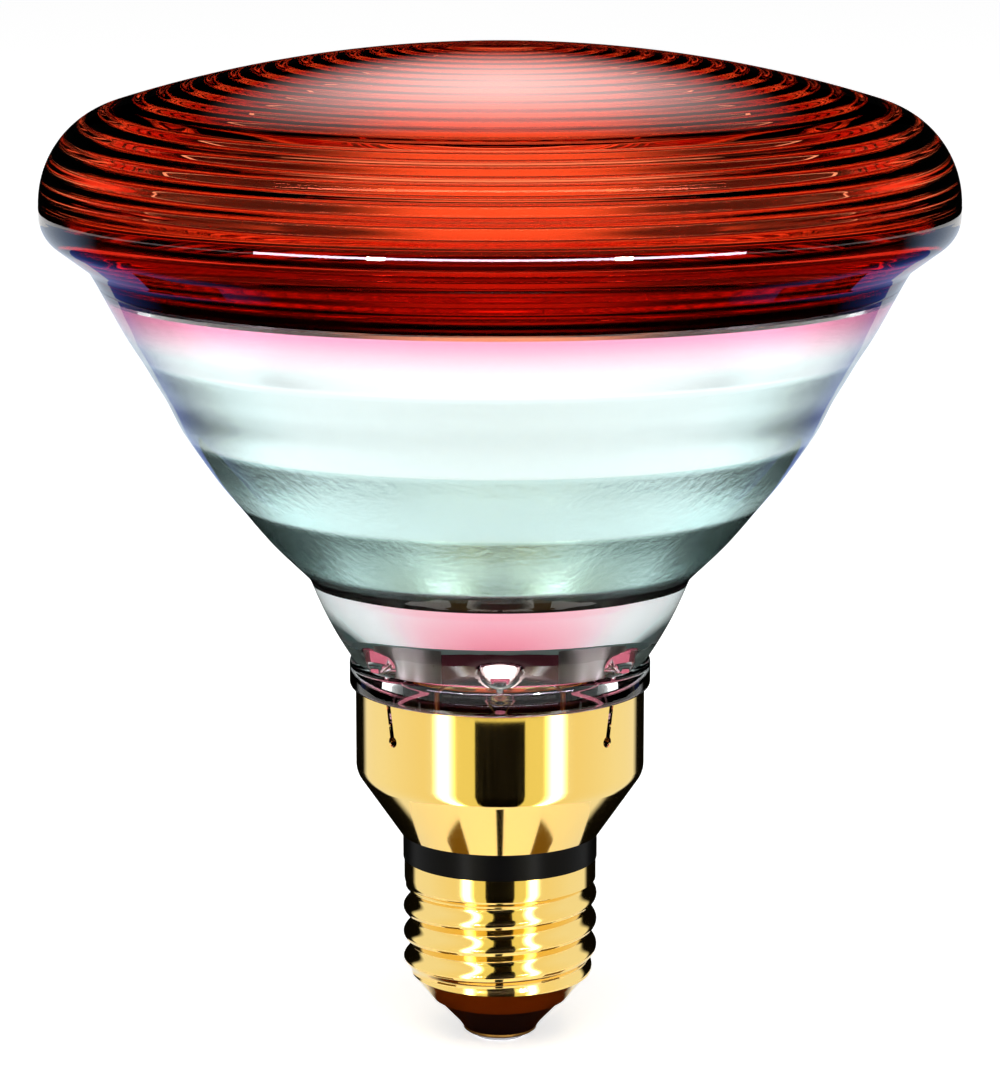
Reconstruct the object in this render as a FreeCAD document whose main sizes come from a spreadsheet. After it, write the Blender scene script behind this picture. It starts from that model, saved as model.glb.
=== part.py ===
import FreeCAD, Part
import math
import os

import Sketcher

os.makedirs("parts", exist_ok=True)

# An infrared heat lamp: a pressed glass reflector bulb with a ruby lens, on a long skirted
# screw cap. Millimetres. The lamp stands cap down on the +Z axis, and the origin is the
# middle of the flat end contact.

doc = FreeCAD.newDocument("heat_lamp")
sheet = doc.addObject("Spreadsheet::Sheet", "Sizes")


class Size:
    """A length that knows its number and the sheet formula that gives it."""

    def __init__(self, value, formula):
        self.value = float(value)
        self.formula = formula

    def __add__(self, other):
        other = as_size(other)
        return Size(self.value + other.value, f"({self.formula} + {other.formula})")

    def __sub__(self, other):
        other = as_size(other)
        return Size(self.value - other.value, f"({self.formula} - {other.formula})")

    def __mul__(self, other):
        other = as_size(other)
        return Size(self.value * other.value, f"({self.formula} * {other.formula})")

    def __truediv__(self, other):
        other = as_size(other)
        return Size(self.value / other.value, f"({self.formula} / {other.formula})")

    def root(self):
        return Size(math.sqrt(self.value), f"sqrt({self.formula})")


def as_size(number):
    return number if isinstance(number, Size) else Size(number, repr(number))


rows = 0


def size(alias, value):
    """Write one driving size into the sheet and give it back for use in formulas."""
    global rows
    rows += 1
    cell = f"A{rows}"
    sheet.set(cell, str(value))
    sheet.setAlias(cell, alias)
    return Size(value, f"Sizes.{alias}")


# Cap, from the contact upwards
contact_flat = size("contact_flat_radius", 3.4)
solder_radius = size("solder_radius", 3.9)
solder_height = size("solder_height", 0.75)
solder_bulge = size("solder_bulge_height", 0.45)
plate_radius = size("plate_radius", 5.0)
plate_thickness = size("plate_thickness", 0.55)
eyelet_radius = size("eyelet_radius", 1.5)
eyelet_wall = size("eyelet_wall", 0.35)
eyelet_height = size("eyelet_height", 6.4)
insulator_foot = size("insulator_foot_radius", 5.7)
insulator_foot_height = size("insulator_foot_height", 1.0)
insulator_rise = size("insulator_rise", 2.9)
shell_wall = size("shell_wall", 0.3)
shell_lip_radius = size("shell_lip_radius", 9.3)
shell_lip_height = size("shell_lip_height", 5.7)
shell_shoulder = size("shell_shoulder_height", 9.8)
shell_shoulder_radius = size("shell_shoulder_radius", 12.9)
thread_crest = size("thread_crest_radius", 13.2)
thread_root = size("thread_root_radius", 12.13)
thread_pitch = size("thread_pitch", 3.629)
thread_land = size("thread_land", 0.35)
thread_start = size("thread_start_height", 6.6)
THREAD_TURNS = 5
THREAD_SIDES = 30
neck_radius = size("neck_radius", 13.05)
neck_foot = size("neck_foot_height", 22.5)
shell_top = size("shell_top_height", 25.5)
ring_radius = size("ring_radius", 13.2)
ring_height = size("ring_height", 3.7)
ring_sleeve_wall = size("ring_sleeve_wall", 0.8)
ring_sleeve_reach = size("ring_sleeve_reach", 1.6)
cap_clearance = size("cap_clearance", 0.05)
skirt_wall = size("skirt_wall", 0.35)
skirt_radius = size("skirt_radius", 19.5)
skirt_foot_radius = size("skirt_foot_radius", 13.6)
skirt_cone_height = size("skirt_cone_height", 8.6)
skirt_bend = size("skirt_bend_radius", 3.0)
skirt_height = size("skirt_height", 20.4)
slit_width = size("slit_width", 0.8)
slit_length = size("slit_length", 4.9)
slit_hole = size("slit_hole_radius", 0.75)
slit_slant = size("slit_slant", 1.0)

# Glass bowl
bowl_focus = size("bowl_outer_focus", 13.5)
bowl_apex_rise = size("bowl_apex_rise", 2.8)
mirror_focus = size("mirror_focus", 12.9)
mirror_apex_rise = size("mirror_apex_rise", 3.6)
bowl_foot_rise = size("bowl_foot_rise", 12.7)
foot_band = size("foot_band", 3.0)
low_band = size("low_band", 8.3)
middle_band = size("middle_band", 10.9)
high_band = size("high_band", 9.0)
seam_band = size("seam_band", 8.1)
band_step = size("band_step", 0.28)
cup_top_radius = size("cup_top_radius", 25.2)
cup_top_drop = size("cup_top_drop", 1.4)
cup_bulge = size("cup_bulge_radius", 50.0)
cup_foot_radius = size("cup_foot_radius", 19.9)
cup_foot_rise = size("cup_foot_rise", 0.5)
flange_radius = size("flange_radius", 20.3)
flange_height = size("flange_height", 3.5)
heel_clearance = size("heel_clearance", 0.45)
heel_depth = size("heel_depth", 3.1)
heel_recess_radius = size("heel_recess_radius", 14.5)
floor_rise = size("floor_rise", 3.5)
floor_thickness = size("floor_thickness", 5.2)
lug_radius = size("lug_radius", 3.0)
lug_stand = size("lug_stand", 2.4)
lug_rise = size("lug_rise", 3.3)
lug_crown = size("lug_crown", 0.9)
lug_azimuth = size("lug_azimuth", 48.0)

# Ruby lens
dome_radius = size("dome_radius", 172.0)
brim_reach = size("brim_reach", 7.5)
lens_widest_rise = size("lens_widest_rise", 10.6)
shoulder_radius = size("shoulder_radius", 13.3)
brim_land = size("brim_land", 1.4)
brim_radius = size("brim_radius", 4.5)
underside_run = size("underside_run", 4.4)
underside_drop = size("underside_drop", 3.3)
lens_thickness = size("lens_thickness", 3.6)
lens_clear_radius = size("lens_clear_radius", 5.8)
rib_depth = size("rib_depth", 0.6)
RIBS = 14

# Inside the bulb
ferrule_radius = size("ferrule_radius", 3.2)
ferrule_wall = size("ferrule_wall", 0.4)
ferrule_spacing = size("ferrule_spacing", 17.0)
ferrule_stand = size("ferrule_stand", 0.6)
ferrule_tail = size("ferrule_tail", 1.5)
post_radius = size("post_radius", 0.7)
filament_rise = size("filament_rise", 9.4)
filament_radius = size("filament_radius", 0.9)
bridge_radius = size("bridge_radius", 1.3)
bridge_rise = size("bridge_rise", 4.1)
bridge_overhang = size("bridge_overhang", 1.7)
support_radius = size("support_radius", 0.35)
exhaust_radius = size("exhaust_radius", 2.4)
exhaust_bore = size("exhaust_bore_radius", 1.2)
exhaust_length = size("exhaust_length", 9.0)
exhaust_tip = size("exhaust_tip_radius", 0.7)

# Wiring in the cap
lead_radius = size("lead_radius", 0.35)
fuse_wire_radius = size("fuse_wire_radius", 0.15)
fuse_offset = size("fuse_offset", 6.5)
fuse_top = size("fuse_top_height", 36.0)
fuse_length = size("fuse_length", 16.0)
fuse_radius = size("fuse_radius", 1.9)
fuse_bore = size("fuse_bore_radius", 0.5)
fuse_grip = size("fuse_grip", 2.0)
lead_bend_height = size("lead_bend_height", 44.0)
side_lead_offset = size("side_lead_offset", 10.9)
side_joint_height = size("side_joint_height", 20.6)
side_joint_radius = size("side_joint_radius", 1.1)
side_joint_inset = size("side_joint_inset", 0.25)


def mid(first, second):
    return (first + second) / 2


def paraboloid_radius(focus, apex, height):
    """Radius of a paraboloid of revolution about +Z at a height."""
    return (focus * 4 * (height - apex)).root()


def curvature_radius(focus, radius):
    """Radius of curvature of a parabola's meridian where it is this far from the axis."""
    slope = radius / (focus * 2)
    spread = slope * slope + 1
    return focus * 2 * spread * spread.root()


def new_body(name):
    body = doc.addObject("PartDesign::Body", name)
    body.Label = name
    return body


def plane_of(body, role):
    return next(item for item in body.Origin.OriginFeatures if item.Role == role)


def new_sketch(body, role, name, offset=None):
    sketch = body.newObject("Sketcher::SketchObject", name)
    sketch.AttachmentSupport = [(plane_of(body, role), "")]
    sketch.MapMode = "FlatFace"
    if offset is not None:
        sketch.AttachmentOffset = offset
    return sketch


def bind(sketch, kind, places, length):
    """Add a dimension to a sketch and tie it to the sheet."""
    index = sketch.addConstraint(Sketcher.Constraint(kind, *places, length.value))
    sketch.setExpression(f"Constraints[{index}]", length.formula)


def pin_point(sketch, edge, end, across, up):
    """Hold one end of a sketch edge at a place that the sheet gives."""
    for kind, axis, length in (("DistanceX", -2, across), ("DistanceY", -1, up)):
        if length.value == 0:
            sketch.addConstraint(Sketcher.Constraint("PointOnObject", edge, end, axis))
        else:
            bind(sketch, kind, (-1, 1, edge, end), length)


def vector(point):
    return FreeCAD.Vector(point[0].value, point[1].value, 0)


def arc_between(start, end, radius, turn):
    """The short arc from start to end; turn is 1 to the left and -1 to the right."""
    chord = end - start
    half = chord.Length / 2
    rise = math.sqrt(radius * radius - half * half)
    left = FreeCAD.Vector(-chord.y, chord.x, 0).normalize()
    centre = (start + end) / 2 + left * (rise * turn)
    first, last = (start, end) if turn > 0 else (end, start)
    begin = math.atan2(first.y - centre.y, first.x - centre.x)
    finish = math.atan2(last.y - centre.y, last.x - centre.x)
    if finish < begin:
        finish += 2 * math.pi
    circle = Part.Circle(centre, FreeCAD.Vector(0, 0, 1), radius)
    return Part.ArcOfCircle(circle, begin, finish)


def draw_outline(sketch, corners, arcs=None):
    """Draw a closed outline through the corners.

    arcs maps the number of an edge to the radius and the turn of the arc it follows.
    """
    arcs = arcs or {}
    corners = [(as_size(across), as_size(up)) for across, up in corners]
    count = len(corners)
    ends = []
    for number in range(count):
        start = vector(corners[number])
        end = vector(corners[(number + 1) % count])
        if number in arcs:
            radius, turn = arcs[number]
            edge = sketch.addGeometry(arc_between(start, end, radius.value, turn), False)
            ends.append((edge, 1, 2) if turn > 0 else (edge, 2, 1))
        else:
            edge = sketch.addGeometry(Part.LineSegment(start, end), False)
            ends.append((edge, 1, 2))
    for number in range(count):
        edge, begin, finish = ends[number]
        following = ends[(number + 1) % count]
        sketch.addConstraint(Sketcher.Constraint("Coincident", edge, finish, following[0], following[1]))
        pin_point(sketch, edge, begin, *corners[number])
        if number in arcs:
            bind(sketch, "Radius", (edge,), arcs[number][0])


def draw_circle(sketch, across, up, radius):
    across, up = as_size(across), as_size(up)
    centre = FreeCAD.Vector(across.value, up.value, 0)
    circle = Part.Circle(centre, FreeCAD.Vector(0, 0, 1), radius.value)
    edge = sketch.addGeometry(circle, False)
    pin_point(sketch, edge, 3, across, up)
    bind(sketch, "Radius", (edge,), radius)


def turned(body, name, corners, arcs=None, kind="PartDesign::Revolution"):
    """Turn an outline of radii and heights about the lamp's axis, or cut it away."""
    sketch = new_sketch(body, "XZ_Plane", f"{name}_outline")
    draw_outline(sketch, corners, arcs)
    feature = body.newObject(kind, name)
    feature.Profile = sketch
    feature.ReferenceAxis = (sketch, ["V_Axis"])
    feature.Angle = 360
    doc.recompute()
    return feature


def upright_circle(body, name, across, height, radius):
    """A circle drawn level at a height, off the axis along X."""
    height = as_size(height)
    offset = FreeCAD.Placement(FreeCAD.Vector(0, 0, height.value), FreeCAD.Rotation())
    sketch = new_sketch(body, "XY_Plane", name, offset)
    sketch.setExpression("AttachmentOffset.Base.z", height.formula)
    draw_circle(sketch, across, 0, radius)
    return sketch


def drilled(body, name, across, height, radius, depth):
    """A round hole straight down from a height."""
    hole = body.newObject("PartDesign::Pocket", name)
    hole.Profile = upright_circle(body, f"{name}_circle", across, height, radius)
    hole.setExpression("Length", depth.formula)
    doc.recompute()
    return hole


def wire(name, radius, route, plane="XZ_Plane"):
    """A bent round wire whose first run is upright, along a route of places in one plane."""
    body = new_body(name)
    route = [(as_size(across), as_size(up)) for across, up in route]
    path = new_sketch(body, plane, f"{name}_route")
    for number, (start, end) in enumerate(zip(route, route[1:])):
        edge = path.addGeometry(Part.LineSegment(vector(start), vector(end)), False)
        pin_point(path, edge, 1, *start)
        if number:
            path.addConstraint(Sketcher.Constraint("Coincident", edge - 1, 2, edge, 1))
    pin_point(path, edge, 2, *route[-1])
    section = upright_circle(body, f"{name}_section", route[0][0], route[0][1], radius)
    pipe = body.newObject("PartDesign::AdditivePipe", f"{name}_run")
    pipe.Profile = section
    pipe.Spine = (path, [])
    pipe.Transition = "Round corner"
    doc.recompute()
    return body


# Contact: the solder cap, the brass eyelet plate and the black glass around them
plate_top = solder_height + plate_thickness
solder = new_body("contact_solder")
turned(solder, "solder_cap", [
    (0, 0), (contact_flat, 0), (solder_radius, solder_bulge), (solder_radius, solder_height),
    (eyelet_radius - eyelet_wall, solder_height), (eyelet_radius - eyelet_wall, plate_top),
    (lead_radius, plate_top), (lead_radius, solder_height), (0, solder_height)])

eyelet = new_body("contact_eyelet")
turned(eyelet, "eyelet_plate", [
    (eyelet_radius - eyelet_wall, solder_height), (plate_radius - eyelet_wall, solder_height),
    (plate_radius, mid(solder_height, plate_top)), (plate_radius, plate_top),
    (eyelet_radius, plate_top), (eyelet_radius, eyelet_height),
    (eyelet_radius - eyelet_wall, eyelet_height)])

insulator_foot_top = plate_top + insulator_foot_height
lip_slope = (shell_shoulder_radius - shell_lip_radius) / (shell_shoulder - shell_lip_height)
inner_lip_radius = shell_lip_radius - shell_wall * (lip_slope * lip_slope + 1).root()
shell_bore = thread_root - shell_wall
bore_foot = shell_lip_height + (shell_bore - inner_lip_radius) / lip_slope
insulator_top = insulator_foot_top + insulator_rise
insulator = new_body("base_insulator")
turned(insulator, "vitrite_cone", [
    (eyelet_radius, plate_top), (plate_radius, plate_top), (insulator_foot, insulator_foot_top),
    (inner_lip_radius, shell_lip_height), (shell_bore, bore_foot),
    (shell_bore - insulator_foot_height, bore_foot), (insulator_foot, insulator_top),
    (eyelet_radius, insulator_top)])

# Screw shell: a drawn brass sleeve with a rolled right-hand round thread. The thread's ring
# is a prism of many sides, and the groove is a ruled loft with one section at each corner.
neck_bore = neck_radius - shell_wall
thread_depth = thread_crest - thread_root
neck_foot_low = neck_foot - (neck_radius - thread_root)

thread_prism = doc.addObject("Part::Prism", "thread_prism")
thread_prism.Polygon = THREAD_SIDES
thread_prism.setExpression("Circumradius", thread_crest.formula)
thread_prism.setExpression("Height", (neck_foot - shell_shoulder).formula)
thread_prism.setExpression("Placement.Base.z", shell_shoulder.formula)

lip = new_body("shell_lip")
turned(lip, "lip_cone", [
    (0, shell_lip_height), (shell_lip_radius, shell_lip_height),
    (shell_shoulder_radius, shell_shoulder), (0, shell_shoulder)])


def groove_section(step):
    """The groove's outline where it has climbed this many sides round the sleeve."""
    angle = math.pi / 2 + 2 * math.pi * step / THREAD_SIDES
    climb = thread_start.value + thread_pitch.value * step / THREAD_SIDES
    half_mouth = (thread_pitch.value - thread_land.value) / 2
    lower_half = [
        (thread_crest.value + thread_depth.value, half_mouth + thread_land.value / 4),
        (thread_crest.value, half_mouth),
        (mid(thread_crest, thread_root).value, thread_pitch.value / 4),
        (thread_root.value, thread_land.value)]
    outline = [(radius, -rise) for radius, rise in lower_half]
    outline += [(radius, rise) for radius, rise in reversed(lower_half)]
    corners = [
        FreeCAD.Vector(radius * math.cos(angle), radius * math.sin(angle), climb + rise)
        for radius, rise in outline]
    return Part.makePolygon(corners + corners[:1])


groove = doc.addObject("Part::Feature", "thread_groove")
groove.Shape = Part.makeLoft(
    [groove_section(step) for step in range(THREAD_TURNS * THREAD_SIDES + 1)], True, True)

bore = new_body("shell_bore")
turned(bore, "bore_core", [
    (0, shell_lip_height), (inner_lip_radius, shell_lip_height), (shell_bore, bore_foot),
    (shell_bore, neck_foot), (0, neck_foot)])

neck = new_body("shell_neck")
turned(neck, "neck_sleeve", [
    (shell_bore, neck_foot_low), (thread_root, neck_foot_low), (neck_radius, neck_foot),
    (neck_radius, shell_top), (neck_bore, shell_top), (neck_bore, neck_foot)])


def joined(kind, name, shapes):
    """A boolean of two whole shapes."""
    result = doc.addObject(kind, name)
    result.Base, result.Tool = shapes
    return result


shell_solid = joined("Part::Fuse", "shell_solid", (thread_prism, lip))
shell_blank = joined("Part::Cut", "shell_blank", (shell_solid, bore))
shell_grooved = joined("Part::Cut", "shell_grooved", (shell_blank, groove))
shell = joined("Part::Fuse", "screw_shell", (shell_grooved, neck))

# Black ring that keeps the skirt off the live shell: a band outside and a sleeve inside both
ring_top = shell_top + ring_height
sleeve_radius = neck_bore - cap_clearance
sleeve_bore = sleeve_radius - ring_sleeve_wall
ring = new_body("insulating_ring")
turned(ring, "ring_band", [
    (sleeve_bore, shell_top - ring_sleeve_reach), (sleeve_radius, shell_top - ring_sleeve_reach),
    (sleeve_radius, shell_top), (ring_radius, shell_top), (ring_radius, ring_top),
    (sleeve_radius, ring_top), (sleeve_radius, ring_top + ring_sleeve_reach),
    (sleeve_bore, ring_top + ring_sleeve_reach)])

# Skirt: drawn brass cup with a cone foot turned in over the ring, and slits above its wall
skirt_foot = ring_top
skirt_shoulder = skirt_foot + skirt_cone_height
skirt_top = skirt_foot + skirt_height
cone_run = skirt_radius - skirt_foot_radius
cone_length = (cone_run * cone_run + skirt_cone_height * skirt_cone_height).root()
bend_reach = skirt_bend * (cone_length - skirt_cone_height) / cone_run
bend_low_radius = skirt_radius - bend_reach * cone_run / cone_length
bend_low_height = skirt_shoulder - bend_reach * skirt_cone_height / cone_length
bend_high_height = skirt_shoulder + bend_reach
cone_wall = skirt_wall * cone_length / skirt_cone_height
skirt = new_body("cap_skirt")
turned(skirt, "skirt_wall", [
    (neck_bore, skirt_foot), (skirt_foot_radius, skirt_foot), (bend_low_radius, bend_low_height),
    (skirt_radius, bend_high_height), (skirt_radius, skirt_top),
    (skirt_radius - skirt_wall, skirt_top), (skirt_radius - skirt_wall, bend_high_height),
    (bend_low_radius - skirt_wall * skirt_cone_height / cone_length,
     bend_low_height + skirt_wall * cone_run / cone_length),
    (skirt_foot_radius - cone_wall + skirt_wall * cone_run / skirt_cone_height, skirt_foot + skirt_wall),
    (neck_bore, skirt_foot + skirt_wall)],
    {2: (skirt_bend, 1), 6: (skirt_bend - skirt_wall, -1)})


def upright_sketch(body, name, azimuth):
    """A sketch on the upright plane through the axis that faces out at an azimuth from -Y."""
    turn = FreeCAD.Rotation(FreeCAD.Vector(0, 1, 0), azimuth.value)
    sketch = new_sketch(body, "XZ_Plane", name, FreeCAD.Placement(FreeCAD.Vector(), turn))
    sketch.setExpression("AttachmentOffset.Rotation.Angle", azimuth.formula)
    return sketch


def cut_outwards(body, name, sketch):
    cut = body.newObject("PartDesign::Pocket", name)
    cut.Profile = sketch
    cut.Reversed = True
    cut.setExpression("Length", (skirt_radius + skirt_wall).formula)
    doc.recompute()


def cut_slit(name, azimuth, side):
    """A leaning slit down from the rim that ends in a pierced hole; side is the lean's sign."""
    foot_place = slit_slant / 2 * side
    top_place = foot_place * -1
    foot = skirt_top - slit_length
    above = skirt_top + slit_width
    half = slit_width / 2
    slit = upright_sketch(skirt, f"{name}_outline", azimuth)
    draw_outline(slit, [
        (foot_place - half, foot), (foot_place + half, foot),
        (top_place + half, above), (top_place - half, above)])
    cut_outwards(skirt, name, slit)
    hole = upright_sketch(skirt, f"{name}_hole", azimuth)
    draw_circle(hole, foot_place, foot, slit_hole)
    cut_outwards(skirt, f"{name}_foot", hole)


half_turn = as_size(180)
cut_slit("slit_front_left", lug_azimuth * -1, 1)
cut_slit("slit_front_right", lug_azimuth, -1)
cut_slit("slit_back_right", half_turn - lug_azimuth, 1)
cut_slit("slit_back_left", half_turn + lug_azimuth, -1)

# Reflector bowl: pressed clear glass, a stepped paraboloid on a thick cup, flange and heel
heel_radius = skirt_radius - skirt_wall - heel_clearance
heel_foot = skirt_top - heel_depth
flange_top = skirt_top + flange_height
bowl_outer_apex = skirt_top + bowl_apex_rise
mirror_apex = bowl_outer_apex + mirror_apex_rise
bowl_foot = bowl_outer_apex + bowl_foot_rise
cup_top = bowl_foot - cup_top_drop
levels = [bowl_foot]
for band in (foot_band, low_band, middle_band, high_band, seam_band):
    levels.append(levels[-1] + band)
seam_height = levels[-1]
# How far each band stands proud of the paraboloid, in steps, from the lowest band up
proud = [-1, 0, 1, -1, 0]


def stepped_run(focus, apex, heights, offsets):
    """Corners and arcs up a paraboloid, with a ledge where the offset changes."""
    corners = []
    arcs = {}
    for low, high, offset in zip(heights, heights[1:], offsets):
        low_radius = paraboloid_radius(focus, apex, low) + offset
        high_radius = paraboloid_radius(focus, apex, high) + offset
        arcs[len(corners)] = (curvature_radius(focus, mid(low_radius, high_radius)), 1)
        corners += [(low_radius, low), (high_radius, high)]
    return corners, arcs


reflector_bowl = new_body("reflector_bowl")
offsets = [band_step * steps for steps in proud]
bands, band_arcs = stepped_run(bowl_focus, bowl_outer_apex, levels, offsets)
foot = [
    (0, heel_foot), (heel_radius, heel_foot), (heel_radius, skirt_top), (flange_radius, skirt_top),
    (flange_radius, flange_top), (cup_foot_radius, flange_top + cup_foot_rise),
    (cup_top_radius, cup_top)]
arcs = {edge + len(foot): arc for edge, arc in band_arcs.items()}
arcs[len(foot) - 2] = (cup_bulge, 1)
turned(reflector_bowl, "outer_form", foot + bands + [(0, seam_height)], arcs)


lug_height = flange_top + lug_rise
lug_reach = cup_foot_radius + lug_stand


def raise_lug(name, azimuth):
    """A round post that points outwards from the cup and stops in a crowned end."""
    crown_radius = (lug_radius * lug_radius + lug_crown * lug_crown) / (lug_crown * 2)
    lug = upright_sketch(reflector_bowl, f"{name}_outline", azimuth - 90)
    draw_outline(lug, [
        (heel_recess_radius, lug_height), (lug_reach, lug_height),
        (lug_reach - lug_crown, lug_height + lug_radius), (heel_recess_radius, lug_height + lug_radius)],
        {1: (crown_radius, 1)})
    axis = sketch_axis(lug, lug_height)
    post = reflector_bowl.newObject("PartDesign::Revolution", name)
    post.Profile = lug
    post.ReferenceAxis = (lug, [axis])
    post.Angle = 360
    doc.recompute()


def sketch_axis(sketch, height):
    """A level construction line for turning a post, at a height."""
    line = Part.LineSegment(FreeCAD.Vector(0, height.value, 0), FreeCAD.Vector(1, height.value, 0))
    edge = sketch.addGeometry(line, True)
    sketch.addConstraint(Sketcher.Constraint("Horizontal", edge))
    pin_point(sketch, edge, 1, as_size(0), height)
    sketch.addConstraint(Sketcher.Constraint("DistanceX", edge, 1, edge, 2, 1.0))
    return "Axis0"


raise_lug("lug_front", as_size(0))
raise_lug("lug_front_left", lug_azimuth * -1)
raise_lug("lug_front_right", lug_azimuth)
raise_lug("lug_back", half_turn)
raise_lug("lug_back_right", half_turn - lug_azimuth)
raise_lug("lug_back_left", half_turn + lug_azimuth)

# The mirror side is pressed in flat bands between the same levels, over a level floor
floor_height = mirror_apex + floor_rise
mirror_levels = [floor_height] + levels[1:]
mirror = [(paraboloid_radius(mirror_focus, mirror_apex, level), level) for level in mirror_levels]
turned(reflector_bowl, "cavity", [(0, floor_height)] + mirror + [(0, seam_height)], kind="PartDesign::Groove")
recess_top = floor_height - floor_thickness
turned(reflector_bowl, "heel_recess", [
    (0, heel_foot), (heel_recess_radius, heel_foot), (heel_recess_radius, recess_top), (0, recess_top)],
    kind="PartDesign::Groove")
ferrule_offset = ferrule_spacing / 2
for side, name in ((-1, "left"), (1, "right")):
    drilled(reflector_bowl, f"ferrule_hole_{name}", ferrule_offset * side, floor_height,
            ferrule_radius, floor_thickness)
drilled(reflector_bowl, "exhaust_hole", 0, floor_height, exhaust_bore, floor_thickness)

# Ruby lens: a shallow dome with a rounded brim and a lip that meets the bowl. Its inside
# follows the outside at an even thickness, with ring ribs under the dome.
seam_outer = paraboloid_radius(bowl_focus, bowl_outer_apex, seam_height)
seam_inner = paraboloid_radius(mirror_focus, mirror_apex, seam_height)
lens_radius = seam_outer + brim_reach
lens_widest = seam_height + lens_widest_rise
dome_reach = dome_radius - shoulder_radius
shoulder_centre = lens_radius - shoulder_radius
dome_centre = lens_widest - (dome_reach * dome_reach - shoulder_centre * shoulder_centre).root()
dome_top = dome_centre + dome_radius
dome_edge_radius = shoulder_centre * dome_radius / dome_reach
dome_edge_height = dome_centre + (lens_widest - dome_centre) * dome_radius / dome_reach
brim_top = lens_widest - brim_land
underside_length = (underside_run * underside_run + underside_drop * underside_drop).root()
brim_low_radius = lens_radius - brim_radius + brim_radius * underside_drop / underside_length
brim_low_height = brim_top - brim_radius * underside_run / underside_length
inner_radius = lens_radius - lens_thickness
inner_shoulder = shoulder_radius - lens_thickness
inner_dome_radius = dome_radius - lens_thickness
inner_edge_radius = shoulder_centre * inner_dome_radius / dome_reach


def inner_dome(radius):
    return dome_centre + (inner_dome_radius * inner_dome_radius - radius * radius).root()


rib_pitch = (inner_edge_radius - lens_clear_radius) / (RIBS + 0.5)
ribs = []
for rib in range(RIBS, 0, -1):
    valley = lens_clear_radius + rib_pitch * rib
    ridge = valley - rib_pitch / 2
    ribs.append((valley, inner_dome(valley)))
    ribs.append((ridge, inner_dome(ridge) - rib_depth))
ribs.append((lens_clear_radius, inner_dome(lens_clear_radius)))
lens_edge = [
    (0, dome_top), (dome_edge_radius, dome_edge_height), (lens_radius, lens_widest),
    (lens_radius, brim_top), (brim_low_radius, brim_low_height),
    (brim_low_radius - underside_run, brim_low_height - underside_drop),
    (seam_outer, seam_height), (seam_inner, seam_height), (inner_radius, brim_top),
    (inner_radius, lens_widest), (inner_edge_radius, inner_dome(inner_edge_radius))]
front_lens = new_body("front_lens")
turned(front_lens, "lens_section", lens_edge + ribs + [(0, dome_top - lens_thickness)], {
    0: (dome_radius, -1), 1: (shoulder_radius, -1), 3: (brim_radius, -1), 9: (inner_shoulder, 1),
    len(lens_edge) + len(ribs) - 1: (inner_dome_radius, 1)})

# Ferrules: thin metal cups sealed into the bowl's floor, each with a post on its closed top
post_foot = floor_height + ferrule_stand
ferrule_foot = recess_top - ferrule_tail
cup_roof = floor_height
ferrules = []
posts = []
filament_height = floor_height + filament_rise
bridge_height = floor_height + bridge_rise
post_top = filament_height - filament_radius
for side, name in ((-1, "left"), (1, "right")):
    place = ferrule_offset * side
    ferrule = new_body(f"ferrule_{name}")
    cup = ferrule.newObject("PartDesign::Pad", f"ferrule_{name}_cup")
    cup.Profile = upright_circle(ferrule, f"ferrule_{name}_circle", place, ferrule_foot, ferrule_radius)
    cup.setExpression("Length", (post_foot - ferrule_foot).formula)
    doc.recompute()
    drilled(ferrule, f"ferrule_{name}_bore", place, cup_roof, ferrule_radius - ferrule_wall,
            cup_roof - ferrule_foot)
    ferrules.append(ferrule)
    post = new_body(f"lead_post_{name}")
    rod = post.newObject("PartDesign::Pad", f"lead_post_{name}_rod")
    rod.Profile = upright_circle(post, f"lead_post_{name}_circle", place, post_foot, post_radius)
    rod.setExpression("Length", (post_top - post_foot).formula)
    doc.recompute()
    posts.append(post)

# Bridge: a glass rod across both posts that carries the filament's support wire
bridge = new_body("bridge_rod")
bridge_end = new_sketch(bridge, "YZ_Plane", "bridge_circle")
draw_circle(bridge_end, 0, bridge_height, bridge_radius)
bar = bridge.newObject("PartDesign::Pad", "bridge_bar")
bar.Profile = bridge_end
bar.setExpression("Length", (ferrule_spacing + bridge_overhang * 2).formula)
bar.Midplane = True
doc.recompute()
for side, name in ((-1, "left"), (1, "right")):
    drilled(bridge, f"bridge_hole_{name}", ferrule_offset * side, bridge_height + bridge_radius,
            post_radius, bridge_radius * 2)

# Filament: the outer form of a coiled coil, bent in a half ring from post to post
filament = new_body("filament")
coil = new_sketch(filament, "YZ_Plane", "coil_section")
draw_circle(coil, ferrule_offset * -1, filament_height, filament_radius)
arc = filament.newObject("PartDesign::Revolution", "coil_arc")
arc.Profile = coil
arc.ReferenceAxis = (coil, ["V_Axis"])
arc.Midplane = True
arc.Angle = 180
doc.recompute()

support_run = wire("support_run", support_radius, [
    (0, bridge_height + bridge_radius), (0, filament_height),
    (ferrule_offset * -1, filament_height)], plane="YZ_Plane")
support = joined("Part::Cut", "support_wire", (support_run, filament))

# Exhaust tube: the stub left where the bulb was pumped and melted shut
tip_foot = recess_top - exhaust_length
exhaust = new_body("exhaust_tube")
turned(exhaust, "exhaust_stub", [
    (0, tip_foot), (exhaust_tip, tip_foot + exhaust_tip), (exhaust_radius, tip_foot + exhaust_length / 3),
    (exhaust_radius, recess_top), (exhaust_bore, recess_top), (exhaust_bore, tip_foot + exhaust_length / 3),
    (0, tip_foot + exhaust_radius)])

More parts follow.
